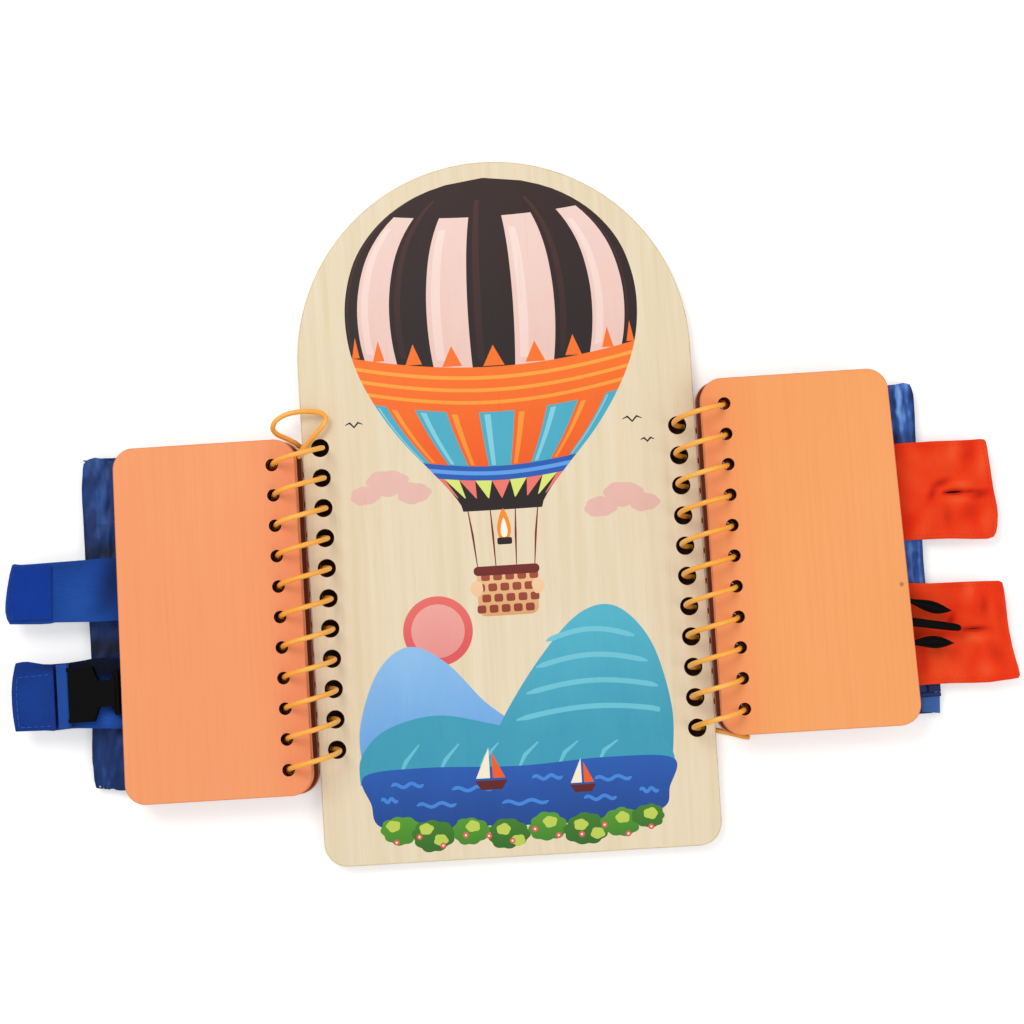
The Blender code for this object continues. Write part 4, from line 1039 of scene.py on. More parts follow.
def band(mesh, path, thick, low, high, place, steps, lift=None):
    """A strap: its long section follows (out, height) places and is carried from low to high across."""
    p = np.array(path, float)
    ahead = np.gradient(p, axis=0)
    ahead /= np.linalg.norm(ahead, axis=1)[:, None]
    normal = np.stack([-ahead[:, 1], ahead[:, 0]], axis=1)
    value = lambda edge, out: edge(out) if callable(edge) else edge
    rings = []
    shares = [0, 0.012] + list(np.linspace(0.05, 0.95, steps)) + [0.988, 1]
    for n, share in enumerate(shares):
        half = thick / 2 * (0.5 if n in (0, len(shares) - 1) else 1)
        ring = []
        for sign, row in ((1, range(len(p))), (-1, reversed(range(len(p))))):
            for k in row:
                end = 0.55 if k in (0, len(p) - 1) else 1
                out, z = p[k] + normal[k] * sign * half * end
                across = value(low, p[k][0]) * (1 - share) + value(high, p[k][0]) * share
                bump = lift(out, across) if lift else 0
                ring.append(place(out, across, z + bump))
        rings.append(ring)
    loft(mesh, rings)


def stitches(mesh, line, high, length, gap, place, radius):
    """Small raised stitches along a line in plan."""
    for (a, b), (c, d) in zip(line[:-1], line[1:]):
        run = math.hypot(c - a, d - b)
        count = max(1, int(run / (length + gap)))
        for k in range(count):
            s, e = (k + 0.18) / count, (k + 0.82) / count
            row = []
            for share, drop in ((0, -0.18), (0.2, 0.03), (0.5, 0.1), (0.8, 0.03), (1, -0.18)):
                t = s + (e - s) * share
                x, y = a + (c - a) * t, b + (d - b) * t
                z = high(x, y) if callable(high) else high
                row.append(place(x, y, z + drop))
            tube(mesh, row, radius, 6)


def sewn(name, lines, high, length, gap, place, radius, finish, body, slot):
    """The stitches along some lines as a piece of its own."""
    mesh = bmesh.new()
    for line in lines:
        stitches(mesh, line, high, length, gap, place, radius)
    return piece(name, mesh, finish, body, slot, smooth=60)


# Straps

HOOK_OUTLINE = [
    (-3, 2.9), (11, 3.1), (20, 3.5), (26.3, 3.8), (28.4, 3.4), (32.8, 3.4), (41.4, 3.9), (46.0, 4.2),
    (47.2, 6.6), (47.7, 9.7), (47.4, 13.5), (46.5, 19), (45.1, 25.4), (43.8, 29.6), (42.9, 30.0),
    (40.1, 29.5), (35.8, 29.5), (27.1, 29.6), (18.5, 29.7), (12, 29.8), (-3, 30.0),
]
PATCH_OUTLINE = [
    (27.4, 4.9), (45.3, 5.4), (46.3, 9.8), (46.0, 14), (44.8, 22), (43.2, 28.0), (42.5, 28.6),
    (26.8, 28.3), (26.5, 27.6), (26.9, 16),
]
# Painted light and shade on the hook strap: a painted shadow of the page by its inner end, painted light on
# two patches, and a darker run along its top edge
HOOK_PAINTED_LIGHT = [
    (1.5, 20, 0.25, 5.5, 16, -0.75), (14, 12, 0.5, 7, 12, 0.25), (6, 3.5, 1.4, 3, 8, 0.3),
    (20, 28, 1.5, 2, 14, -0.2),
]


def hook_strap():
    """The webbing strap with its hook tape sewn on near its rounded end."""
    low, high = span("hook_strap")
    z = (low.z + high.z) / 2

    def height(x, y):
        curl = -0.5 * max(0, (x - 26) / 20) ** 2
        edge = -0.35 * hump(y, 29.4, 1.0) - 0.2 * hump(y, 3.6, 0.8)
        return z + 0.55 * wobble(x, y, 3, 0.05) + 0.12 * wobble(x, y, 8, 0.3) + curl + edge

    web = soft_piece("hook_strap_web", HOOK_OUTLINE, 1.3, high.z - low.z, height, on_left,
                     "strap", "hook_strap", "webbing")
    shade(web, LEFT, lambda x, y: folds(HOOK_PAINTED_LIGHT, x, y))
    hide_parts("hook_strap")
    low_patch, high_patch = span("hook_patch")
    rise = (low_patch.z + high_patch.z) / 2 - z - 0.2
    hooks = soft_piece("hook_tape", PATCH_OUTLINE, 1.0, high_patch.z - low_patch.z,
                       lambda x, y: height(x, y) + rise, on_left, "hook", "hook_strap", "hook_tape")
    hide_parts("hook_patch")
    line = [(28.2, 6.0), (44.7, 6.3), (43.8, 20), (42.3, 27.5), (27.9, 27.3), (28.1, 16), (28.2, 6.0)]
    thread = sewn("hook_tape_stitches", [line], lambda x, y: height(x, y) + rise + 0.46, 1.9, 0.8, on_left,
                  0.15, "blue_thread", "hook_strap", "hook_tape")


STRAP_TOP = [
    (0, -11.9), (11, -12.6), (16.2, -13.3), (21.8, -13.8), (24.8, -14.2), (31.3, -13.9), (36.9, -13.2),
    (39.8, -12.2), (42.8, -12.2), (46, -12.6),
]
STRAP_FOOT = [
    (0, -43.3), (2.7, -43.1), (13.4, -42.3), (19.8, -41.9), (26.2, -42.0), (28.4, -42.4), (32.7, -42.0),
    (39.1, -41.6), (46, -41.8),
]


def between_rows(rows, x):
    return float(np.interp(x, [r[0] for r in rows], [r[1] for r in rows]))


# Painted light and shade on the buckle strap: painted shadow along its upper side by the page, painted
# light along its lower side
STRAP_PAINTED_LIGHT = [
    (4, -17, 0.0, 10, 5.5, -1.3), (15, -14.5, 1.57, 2.4, 13, -0.9), (6, -39, 0.3, 7, 4.5, 0.6),
    (17, -42, 1.57, 2, 6, 0.5), (24, -15, 1.57, 1.6, 16, -0.3), (36, -28, 0.0, 9, 14, 0.12),
]
STRAP_THICK, STRAP_END, FOLD_RADIUS = 0.9, 45.2, 0.75
SLEEVE_REACH, SLEEVE_CORNER, SLEEVE_THICK = 2.35, 1.2, 0.3


def buckle_strap():
    """A wide strap whose end is folded over and sewn down, and a pale sleeve round the socket's bar."""
    low, _ = span("buckle_strap")
    socket_low, socket_high = span("buckle_socket")
    bar_out = -socket_low.x - EDGE_X - (socket_high.z - socket_low.z) / 2
    bar_z = (socket_low.z + socket_high.z) / 2
    bottom = low.z + 0.5
    fold = bottom + 2 * FOLD_RADIUS
    crest = socket_high.z - 0.3

    def bulged(out, across, z):
        """The strap's end bows outwards along its middle."""
        bow = -2.4 * max(0, (across + 27) / 15) ** 2 - 0.9 * max(0, (-30 - across) / 12) ** 2
        return on_left(out + bow * max(0, (out - 28) / 18) ** 2, across, z)

    def ripple(out, across):
        near = min(1, max(0.15, abs(out - 26) / 8))
        return near * (0.5 * wobble(out, across, 5, 0.07) + 0.12 * wobble(out, across, 6, 0.35))

    lower = lambda out: between_rows(STRAP_FOOT, out)
    upper = lambda out: between_rows(STRAP_TOP, out)
    sunk = lambda x: bottom - 0.8 * hump(x, 23.5, 5, 4)
    path = [(x, sunk(x)) for x in np.linspace(-3, STRAP_END, 48)]
    path += [(STRAP_END + FOLD_RADIUS * math.sin(t), bottom + FOLD_RADIUS - FOLD_RADIUS * math.cos(t))
             for t in np.radians((35, 70, 110, 145))]
    path += [(x, fold) for x in np.linspace(STRAP_END, 35, 10)]
    rising = [(33.4, fold + 0.15), (30.9, fold + 1.1), (28.9, crest - 1.5), (27.3, crest - 0.65)]
    path += catmull(rising, 4)
    mesh = bmesh.new()
    band(mesh, path, STRAP_THICK, lower, upper, bulged, 30, ripple)
    web = piece("buckle_strap_web", mesh, "strap_dark", "buckle_strap", "webbing", smooth=60)
    shade(web, LEFT, lambda x, y: folds(STRAP_PAINTED_LIGHT, x, y))
    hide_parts("buckle_strap")

    # The sleeve, which turns with the socket
    low, high = ((bar_out + way * SLEEVE_REACH, bar_z + way * SLEEVE_REACH) for way in (-1, 1))
    turn = rounded_box(low, high, SLEEVE_CORNER, 5)
    ring = turn[2:] + turn[:1]
    mesh = bmesh.new()
    band(mesh, ring, SLEEVE_THICK, lower(24) + 0.2, upper(24) - 0.2, on_left, 30)
    sleeve = piece("buckle_strap_sleeve", mesh, "pale_webbing", "buckle_socket", "webbing", smooth=60)
    line = [(29.0, -40.3), (44.0, -40.2), (44.0, -18.8), (29.0, -18.4)]
    rise = lambda x: between_rows(rising[2::-1], x)
    thread = sewn("buckle_strap_stitches", [line], lambda x, y: rise(x) + 0.45 + ripple(x, y), 1.9, 0.8,
                  bulged, 0.16, "pale_thread", "buckle_strap", "webbing")


def buckle():
    """The socket, the slider and its pull keep their CAD solids, with their edges rounded."""
    for node, finish, width in (("buckle_socket", "buckle", 0.35), ("zip_slider", "enamel", 0.12),
                                ("zip_pull", "enamel", 0.12)):
        thing = bpy.data.objects[node]
        step = thing.modifiers.new("edges", "BEVEL")
        step.width = width * MM
        step.segments = 3
        step.angle_limit = math.radians(28)
        step.harden_normals = False
        thing.data.materials.clear()
        thing.data.materials.append(FINISHES[finish].material)
    rim = rounded_box((-0.7, -BUCKLE_DOWN - 9.6), (2.0, -BUCKLE_DOWN + 9.6), 1.0, 4)
    low, high = span("buckle_socket")
    soft_piece("buckle_socket_rim", rim, 0.9, 3.4, lambda x, y: (low.z + high.z) / 2 - 0.1,
               on_left, "buckle", "buckle_socket", "buckle", smooth=50)


LEAF = [
    # along the prong from its root to its tip, then its outer and inner edge from the plug's middle line
    (0.0, 9.9, 8.3), (1.5, 9.95, 8.0), (3.5, 9.9, 7.2), (5.5, 10.0, 6.3), (7.5, 10.15, 5.5),
    (9.5, 10.2, 5.0), (11.5, 10.0, 4.75), (13.5, 9.5, 4.9), (15.5, 8.7, 5.4), (17.3, 7.8, 6.1),
    (18.4, 7.2, 6.6), (18.9, 6.95, 6.85),
]
PRONG_SECTION = [
    (-1, 0), (-0.94, 0.6), (-0.8, 0.95), (-0.55, 1.0), (-0.42, 0.72), (0, 0.62), (0.42, 0.72),
    (0.55, 1.0), (0.8, 0.95), (0.94, 0.6), (1, 0), (0.94, -0.7), (0.7, -1), (-0.7, -1), (-0.94, -0.7),
]
TONGUE = [
    (0.0, 1.95), (3, 1.9), (8, 1.8), (14, 1.75), (19, 1.65), (21.0, 1.45), (22.0, 1.0), (22.3, 0.5),
]
PLUG_SLANT = 0.187


def plug():
    """The plug: a thin base under the page, two prongs like leaves with a raised rim, and a tongue."""
    low, high = span("buckle_plug")
    root = 0.6
    place = lambda out, up, z: on_right(out, up - PLUG_DOWN - PLUG_SLANT * (out - root), z)
    thick, level = high.z - low.z, (low.z + high.z) / 2
    mesh = bmesh.new()
    for sign in (-1, 1):
        rings = []
        for along, outer, inner in LEAF:
            middle, half = (outer + inner) / 2, (outer - inner) / 2
            full = min(1, 0.55 + half / 2.2)
            deep = thick / 2 * full
            section = PRONG_SECTION
            if half < 1.0:
                section = [(a, min(b, 0.95) if abs(a) > 0.5 else max(b, 0.9)) for a, b in section]
            rings.append([place(root + along, sign * (middle + a * half), level + b * deep)
                          for a, b in section])
        loft(mesh, rings)
    rings = []
    for along, half in TONGUE:
        deep = (thick / 2 - 0.3) * min(1, 0.4 + half / 2.2)
        section = [(math.cos(t), math.sin(t)) for t in np.arange(16) * math.pi / 8]
        section = [(math.copysign(abs(a) ** 0.5, a), math.copysign(abs(b) ** 0.5, b)) for a, b in section]
        rings.append([place(root + along, a * half, level + b * deep) for a, b in section])
    loft(mesh, rings)
    base = rounded_box((-9.8, -9.1 - PLUG_DOWN), (root + 0.5, 9.1 - PLUG_DOWN), 1.2, 3)
    slot = [(-9, -7.5 - PLUG_DOWN), (-7, -7.5 - PLUG_DOWN), (-7, 7.5 - PLUG_DOWN), (-9, 7.5 - PLUG_DOWN)]
    wood_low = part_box("right_page_1")[0].z / MM
    soft_plate(mesh, base, [slot], 1.6, 1.2, lambda x, y: wood_low - 0.9, on_right)
    solid = piece("plug_body", mesh, "buckle", "right_leaf_1", "buckle", smooth=40)
    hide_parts("buckle_plug")


def as_is(x, y, z):
    return x, y, z


def patch(node, name, finish, slot, corner):
    """A flat piece of webbing or tape under the right page 1."""
    low, high = span(node)
    outline = rounded_box((low.x, low.y), (high.x, high.y), corner, math.ceil(2 * corner))
    thing = soft_piece(name, outline, 1.4, high.z - low.z, lambda x, y: (low.z + high.z) / 2, as_is,
                       finish, "right_leaf_1", slot)
    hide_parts(node)
    return thing


def patch_thread(name, slot, box, z, crossed):
    """The stitches round a box, and across it."""
    (a, b), (c, d) = box
    round_it = [(a, b), (c, b), (c, d), (a, d), (a, b)]
    lines = [round_it] + ([round_it[:3:2], round_it[1:4:2]] if crossed else [])
    return sewn(name, lines, z, 1.7, 0.7, as_is, 0.14, "blue_thread", "right_leaf_1", slot)


def right_webbing():
    web = patch("plug_strap", "plug_strap_web", "webbing", "webbing", 1.2)
    low, high = span("plug_strap")
    box = (low.x + 1.3, low.y + 1.3), (low.x + 12, high.y - 1.3)
    thread = patch_thread("plug_strap_stitches", "webbing", box, low.z + 0.02, True)
    pad = patch("loop_pad", "loop_tape", "loop", "loop_tape", 1.8)
    low, high = span("loop_pad")
    box = (low.x + 1.4, low.y + 1.4), (high.x - 1.4, high.y - 1.4)
    thread = patch_thread("loop_tape_stitches", "loop_tape", box, low.z, False)


# Flaps and buttons

# Threads round a buttonhole: their count on each side, and each one's way from the slit and height
LIP_STITCHES = 30
LIP_STITCH = [(-0.02, -0.35), (0.1, 0.04), (0.55, 0.07), (0.9, -0.12)]


def flap(node, outline, slit, seed, puckers):
    """A cloth flap whose buttonhole draws the cloth round it into soft puckers."""
    low, high = span(node)
    z = (low.z + high.z) / 2 - 0.2
    start, end, mid_up, widest = slit
    middle = (start + end) / 2
    half = (end - start) / 2
    gape = lambda x: 0.04 + widest * max(0, 1 - ((x - middle) / half) ** 2) ** 1.2
    upper = [(x, mid_up + gape(x)) for x in np.linspace(start, end, 17)]
    hole = [(x, 2 * mid_up - y) for x, y in upper] + upper[::-1]

    def height(x, y):
        sunk = -1.1 * math.exp(-((x - middle) / (half + 3)) ** 2 - ((y - mid_up) / 2.2) ** 2)
        soft = 1.2 * wobble(x, y, seed, 0.055) + 1.1 * wobble(x, y * 0.8, seed + 4, 0.11)
        loose = clamp((x - 12.6) / 6)
        near_page = hump(x, 11.1, 2.2, 4) if node == "upper_flap" else 0
        dip = near_page * max(0, fan(RIGHT, PAGE_MID[RIGHT] + y) - 0.55)
        return z - dip + loose * (0.55 + sunk + 1.3 * folds(puckers, x, y) + soft)

    # Painted light and shade on the flap: light and dark over the puckers, painted shade round the
    # buttonhole, and a few random patches
    def painted_light(x, y):
        near = math.hypot((x - middle) / (half + 0.6), (y - mid_up) / 1.1)
        patch = 0.3 * wobble(x, y, seed + 9, 0.13)
        return 0.8 * folds(puckers, x, y) + patch - 0.55 * hump(near, 0, 1, 4) + 0.1

    cloth = soft_piece(f"{node}_cloth", outline, 0.8, high.z - low.z, height, on_right,
                       "shirt", node, "shirt_cloth", [hole])
    shade(cloth, RIGHT, painted_light)
    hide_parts(node)
    # Painted shade: a dark sheet under the buttonhole, seen through the slit
    painted_shade_sheet = [(middle + (half + 2.2) * math.cos(t), mid_up + 2.6 * math.sin(t))
              for t in np.arange(28) * math.pi / 14]
    inner = soft_piece(f"{node}_facing", painted_shade_sheet, 0.9, 0.25, lambda x, y: height(x, y) - 0.75, on_right,
                       "shirt_shade", node, "shirt_cloth")
    mesh = bmesh.new()
    for k in range(LIP_STITCHES):
        x = start - 0.3 + (end - start + 0.6) * k / (LIP_STITCHES - 1)
        for sign in (-1, 1):
            row = []
            for d, lift in LIP_STITCH:
                y = mid_up + sign * (gape(x) + d)
                row.append(on_right(x, y, height(x, y) + 0.5 + lift))
            tube(mesh, row, 0.17, 5)
    thread = piece(f"{node}_buttonhole", mesh, "shirt_thread", node, "shirt_cloth", smooth=60)
    hem = [q for q in inset_loop(resampled(outline, 2.0), 1.9) if q[0] > 1.5]
    seam = sewn(f"{node}_hem_stitches", [hem], lambda x, y: height(x, y) + 0.44, 1.5, 0.6, on_right, 0.1,
                "shirt_thread", node, "shirt_cloth")


UPPER_FLAP = [
    (0, 44.1), (8.1, 44.2), (16.7, 44.1), (25.2, 43.8), (33.8, 43.7), (38.1, 43.8), (39.9, 43.5),
    (40.5, 42.6), (40.8, 40.5), (41.0, 36.7), (41.6, 30.2), (42.4, 21.5), (43.2, 15.0), (43.3, 10.7),
    (42.8, 6.4), (42.0, 3.3), (40.7, 1.5), (38.2, 0.8), (32.8, 1.1), (22.2, 1.9), (13.7, 2.2),
    (4.3, 2.4), (0, 2.4),
]
LOWER_FLAP = [
    (0, -15.9), (4.2, -16.0), (12.3, -16.6), (20.8, -16.8), (29.3, -16.9), (35.7, -17.1), (41.6, -17.3),
    (43.0, -18.2), (43.4, -20.5), (43.7, -26), (44.0, -32), (44.4, -39), (45.2, -45.5), (46.4, -51),
    (47.3, -55), (47.6, -57.9), (46.9, -59.2), (43.2, -59.6), (39, -59.9), (34.7, -60.3), (28.3, -60.2),
    (17.7, -59.7), (9.2, -59.7), (0, -59.7),
]
UPPER_PUCKERS = [
    (15.9, 21.6, -0.52, 1.5, 3.4, -1.0), (20.6, 26.2, 1.88, 1.5, 4.0, -1.1),
    (32.6, 21.7, 1.52, 0.8, 5.0, -0.8), (37.0, 20.2, 1.85, 1.6, 4.0, -0.8),
    (32.3, 36.8, -0.27, 3.0, 6.5, -0.65), (25.5, 39.0, -0.27, 2.4, 4.5, 0.55),
    (38.2, 33.0, -0.1, 2.2, 6.5, 0.55), (28.6, 24.9, 1.5, 1.6, 3.2, 0.6),
    (27.5, 18.4, 1.5, 1.9, 6.0, 0.6), (21.6, 11.0, 0.0, 2.3, 5.5, -0.5),
    (30.4, 12.6, 0.3, 4.5, 3.6, -0.5), (37.3, 7.0, 0.1, 3.0, 4.0, 0.45),
    (8.0, 30.0, 0.2, 5.0, 12.0, 0.3), (12.5, 8.0, 0.1, 4.0, 5.0, 0.25),
]
LOWER_PUCKERS = [
    (30.0, -37.1, 1.57, 0.9, 5.5, -0.9), (19.6, -33.2, -0.4, 1.4, 3.4, -0.8),
    (34.4, -27.6, -0.1, 1.8, 4.5, -0.7), (28.5, -20.8, 0.0, 2.4, 4.5, 0.5),
    (30.0, -41.3, 1.5, 2.0, 6.5, 0.7), (37.6, -47.0, 0.6, 3.4, 6.0, -0.65),
    (32.5, -55.2, 0.1, 3.8, 4.5, 0.55), (7.6, -49.8, 0.15, 2.6, 6.5, -0.55),
    (16.0, -51.0, 0.1, 3.4, 7.0, 0.3), (5.0, -38.5, 0.0, 4.0, 3.0, -0.5),
    (41.0, -33.0, 0.1, 2.0, 9.0, -0.3),
]


def flaps():
    flap("upper_flap", UPPER_FLAP, (21.0, 29.4, 21.8, 0.62), 2.2, UPPER_PUCKERS)
    flap("lower_flap", LOWER_FLAP, (25.0, 33.6, -37.1, 0.22), 7.9, LOWER_PUCKERS)


BUTTON_RADIUS, EYE_UP, EYE_RADIUS = 7, 1.7, 0.8


def buttons():
    for node in ("upper_button", "lower_button"):
        low, high = span(node)
        x, y, _ = (low + high) / 2
        mesh = bmesh.new()
        eyes = [(x, y + s * EYE_UP, EYE_RADIUS, 14) for s in (-1, 1)]
        disc = plate(f"{node}_disc", lambda inset: circle((x, y), BUTTON_RADIUS - inset, 56), eyes,
                     low.z, high.z, 0.3, ["button"] * 3, "left_leaf_2", "button")
        route = [(-1.7, high.z - 0.1), (-1.5, low.z - 0.1), (0, low.z - 0.28), (1.5, low.z - 0.1),
                 (1.7, high.z - 0.1)]
        tube(mesh, [(x, y + v, z) for v, z in route], 0.28, 8)
        piece(f"{node}_thread", mesh, "shirt_thread", "left_leaf_2", "shirt_cloth", smooth=60)
        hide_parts(node)


# The zip

SWAY = {
    LEFT: ([-70, -60, -55, -48, -35, 70], [0.6, 2.4, 2.9, 1.6, 0.4, 0.2]),
    RIGHT: ([-72, -64, -54, -46, -20, 40, 70], [0.0, 0.0, -0.1, -1.6, -2.5, -2.4, -2.0]),
}


def sway(side, up):
    """How far the zip bends out from its straight line at a place along the page."""
    return float(np.interp(up, *SWAY[side]))


LEFT_PLACKET = [
    (-2, 72.2), (0.4, 72.5), (3.8, 73.6), (7.2, 74.4), (9.5, 73.9), (10.8, 73.4), (11.8, 72.6),
    (12.5, 71.4), (12.9, 69.6), (13.1, 67.2), (13.8, 61.5), (13.9, 56), (13.8, 47.6), (13.75, 36.7),
    (13.7, 26), (13.5, 12), (13.3, 2), (13.2, -5), (13.2, -12), (13.6, -25), (14.2, -38), (14.7, -46.2),
    (15.0, -49.6), (15.2, -54.7), (15.2, -57.3), (14.9, -59.5), (14.7, -64.7), (14.1, -68.0),
    (13.2, -68.4), (12.2, -67.2), (11.4, -66.8), (10.6, -67.1), (9.7, -68.0), (8.5, -69.3), (7.4, -68.8),
    (6.3, -69.0), (5.2, -69.6), (3.3, -69.9), (-2, -69.9),
]
RIGHT_PLACKET = [
    (-2, 68.9), (2.1, 69.3), (4.8, 70.0), (7.4, 70.3), (9.4, 69.7), (10.6, 68.2), (11.2, 65.5),
    (11.35, 62.6), (11.3, 56), (11.05, 49.7), (10.9, 44.5), (10.75, 30), (10.6, 15), (10.6, 1.8),
    (10.45, -6.4), (10.6, -15.5), (10.8, -30), (11.2, -42), (11.8, -50), (12.2, -54), (11.6, -56),
    (-2, -56),
]


def placket_height(side, x, y):
    """The satin strip's folds: pleats along it on the right, slanting creases on the left."""
    if side == RIGHT:
        bend = 0.6 * wobble(1, y, 5, 0.05)
        pleats = 0.6 * math.cos(2 * math.pi * (x + bend) / 3.4)
        pleats += 0.25 * math.cos(2 * math.pi * (x + 2 * bend) / 1.7)
        top = max(0, (y - 58) / 12)
        gather = 0.75 * top * math.sin(2.2 * x + 0.5 * (y - 60)) - 0.8 * top ** 3
        return pleats + 0.5 * wobble(x * 2, y, 9, 0.12) + gather
    crease = 1.1 * wobble(x * 1.3 + y * 0.3, y * 0.35, 31, 0.16)
    crease += 0.45 * wobble(x * 2 + y * 0.25, y * 0.4, 37, 0.3)
    top = max(0, (y - 60) / 14)
    ridge = 0.5 * hump(x, 3.2, 1.1) + 0.35 * hump(x, 11.6, 1.2)
    return crease + ridge + 0.7 * top * math.sin(1.1 * x + 0.4 * y) - 0.9 * top ** 3


def placket_painted_light(side, x, y):
    """Painted light and shade of the pleats, and painted shadow beside the straps and flaps that lie over
    them.
    """
    if side == RIGHT:
        lean = 0.8 * wobble(3, y, 15, 0.06)
        head = clamp((y - 44) / 10)
        light = hump(x + lean, 5.2, 1.5) * (0.45 + 0.5 * head)
        second = 0.4 * hump(x + lean, 8.8, 0.7)
        edge = -0.75 * clamp((x - 9.2) / 1.6) - 0.4 * max(0, (2.4 - x) / 2)
        gather = 0.6 * head * wobble(x * 2.2, y * 0.6, 21, 0.4)
        flap_shadow = -0.7 * hump(y, 46, 3.5)
        return light + second + edge + gather + flap_shadow - 0.2 + 0.25 * wobble(x, y, 4, 0.3)
    patch = 0.5 * wobble(x * 1.6 + y * 0.35, y * 0.5, 51, 0.17) + 0.3 * wobble(x * 2.5, y * 0.7, 57, 0.3)
    hook_shadow = hump(y, 33, 4.5)
    buckle_shadow = hump(y, -8.5, 5)
    edge = 0.35 * clamp((x - 12) / 1.8)
    head = 0.35 * hump(x, 5, 3) * (y > 45)
    return patch - 0.8 * hook_shadow - 0.75 * buckle_shadow - edge + head


# Over the teeth: the strip's height, its deepest and highest fold, how its edge hangs, and its thickness
PLACKET_FORM = {LEFT: (1.5, -0.55, 9.0, 0.9, 0.7), RIGHT: (2.12, -0.1, 0.3, 0.0, 0.4)}


def placket(side, word, outline, finish, base):
    place = on_left if side == LEFT else on_right
    reach = max(q[0] for q in outline)
    level, deep, high, droop, thick = PLACKET_FORM[side]

    def height(x, y):
        hang = -droop * max(0, (x - reach + 2.6) / 2.6) ** 2
        loose = min(1, max(0.25, (x + 2) / 3))
        return base + level + loose * 0.75 * min(high, max(deep, placket_height(side, x, y))) + hang

    cloth = soft_piece(f"{word}_placket", outline, 0.8, thick, height, place,
                       finish, f"{word}_leaf_3", "vest_cloth", smooth=80)
    shade(cloth, side, lambda x, y: placket_painted_light(side, x, y))
    length = max(q[1] for q in outline) - min(q[1] for q in outline)


TAPE_THICK, CORD_RADIUS, TOOTH_RADIUS, TOOTH_COUNT = 0.6, 0.62, 0.27, 100
TOOTH = [(10.3, -0.25, 0.62), (11.5, 0, 0.66), (12.35, 0.08, 0.2), (12.35, 0.08, -0.2), (11.5, 0, -0.66),
         (10.3, -0.25, -0.62)]


def zips():
    """Page 3's zip halves: teeth on their cord, a tape with a satin strip over it, and an end film."""
    for side, word in SIDES.items():
        body = f"{word}_leaf_3"
        tape_low, tape_high = span(f"{word}_zip_tape")
        teeth_low, teeth_high = span(f"{word}_zip_teeth")
        foot, head = teeth_low.y - PAGE_MID[side], teeth_high.y - PAGE_MID[side]
        middle = (teeth_low.z + teeth_high.z) / 2

        def place(out, up, z, side=side):
            return on_page(side, out + sway(side, up) * clamp((out - 3) / 5), up, z)

        inner = side * (tape_low.x if side == RIGHT else tape_high.x) - EDGE_X
        low_z = tape_low.z + 0.4
        path = [(inner + 0.3, low_z), (-4, low_z), (-1.5, low_z + 0.05), (0.4, low_z + 0.35),
                (1.8, low_z + 1.0), (3.4, middle - 0.35), (5, middle), (7, middle), (9.9, middle)]
        mesh = bmesh.new()
        band(mesh, catmull(path, 3), TAPE_THICK, foot, head, place, 60)
        tape = piece(f"{word}_tape", mesh, "dark_satin", body, "zip_tape", smooth=60)
        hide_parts(f"{word}_zip_tape")
        mesh = bmesh.new()
        tube(mesh, [place(10.6, y, middle) for y in np.arange(foot + 0.5, head - 0.4, 2.0)], CORD_RADIUS)
        for k in range(TOOTH_COUNT):
            y = foot + 0.7 + (head - foot - 1.4) * k / (TOOTH_COUNT - 1)
            tube(mesh, [place(out, y + v, middle + z) for out, v, z in TOOTH], TOOTH_RADIUS, 6)
        teeth = piece(f"{word}_coil_teeth", mesh, "zip_teeth", body, "zip_teeth", smooth=60)
        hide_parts(f"{word}_zip_teeth")
        if side == RIGHT:
            end = [(5.3, foot + 0.8), (13.0, foot - 0.2), (13.4, foot + 7.0), (13.6, foot + 7.4),
                   (5.2, foot + 7.4)]
            soft_piece(f"{word}_tape_film", end, 1.2, 0.3, lambda x, y: middle + 1.0, place,
                                   "film", body, "zip_tape")
            stop = rounded_box((5.2, foot + 6.9), (14.0, foot + 8.9), 0.5, 3)
            soft_piece(f"{word}_tape_stop", stop, 0.8, 0.4, lambda x, y: middle + 0.95, place,
                                   "dark_satin", body, "zip_tape")
        outline, finish = (LEFT_PLACKET, "dark_satin") if side == LEFT else (RIGHT_PLACKET, "light_satin")
        placket(side, word, outline, finish, middle)


# The padded garment panels

PAD_STEP, PAD_CORNER, SEAM_END = 2.3, 5.0, 1.5
FRAMES = 20

# Seams as pairs of (out, up) ends, level or upright
JACKET_SEAMS = [
    ((-11, -70), (-11, 70)), ((-65, -61), (0.3, -61)), ((-65, 48), (0.3, 48)), ((-48, 0), (-48, 34)),
    ((-24, 0), (-24, 34)), ((-48, 34), (-24, 34)), ((-48, 0), (-24, 0)), ((-48, 25), (-24, 25)),
]
SHIRT_SEAMS = [
    ((-26, -68), (-26, 68)), ((-4, -68), (-4, 68)), ((-65, -62), (0.3, -62)), ((-65, 44), (-26, 44)),
    ((-46, -62), (-46, 44)),
]
VEST_SEAMS = [((-63, up), (0, up)) for up in np.linspace(-53, 53, 7)] + [((-13, -71), (-13, 71))]


def spaced(low, high, lines):
    """Even places from low to high, with one on each line."""
    marks = [low] + sorted(q for q in set(lines) if low + 0.5 < q < high - 0.5) + [high]
    rows = [np.linspace(a, b, max(2, round((b - a) / PAD_STEP) + 1))[:-1]
            for a, b in zip(marks[:-1], marks[1:])]
    return np.concatenate(rows + [[high]])


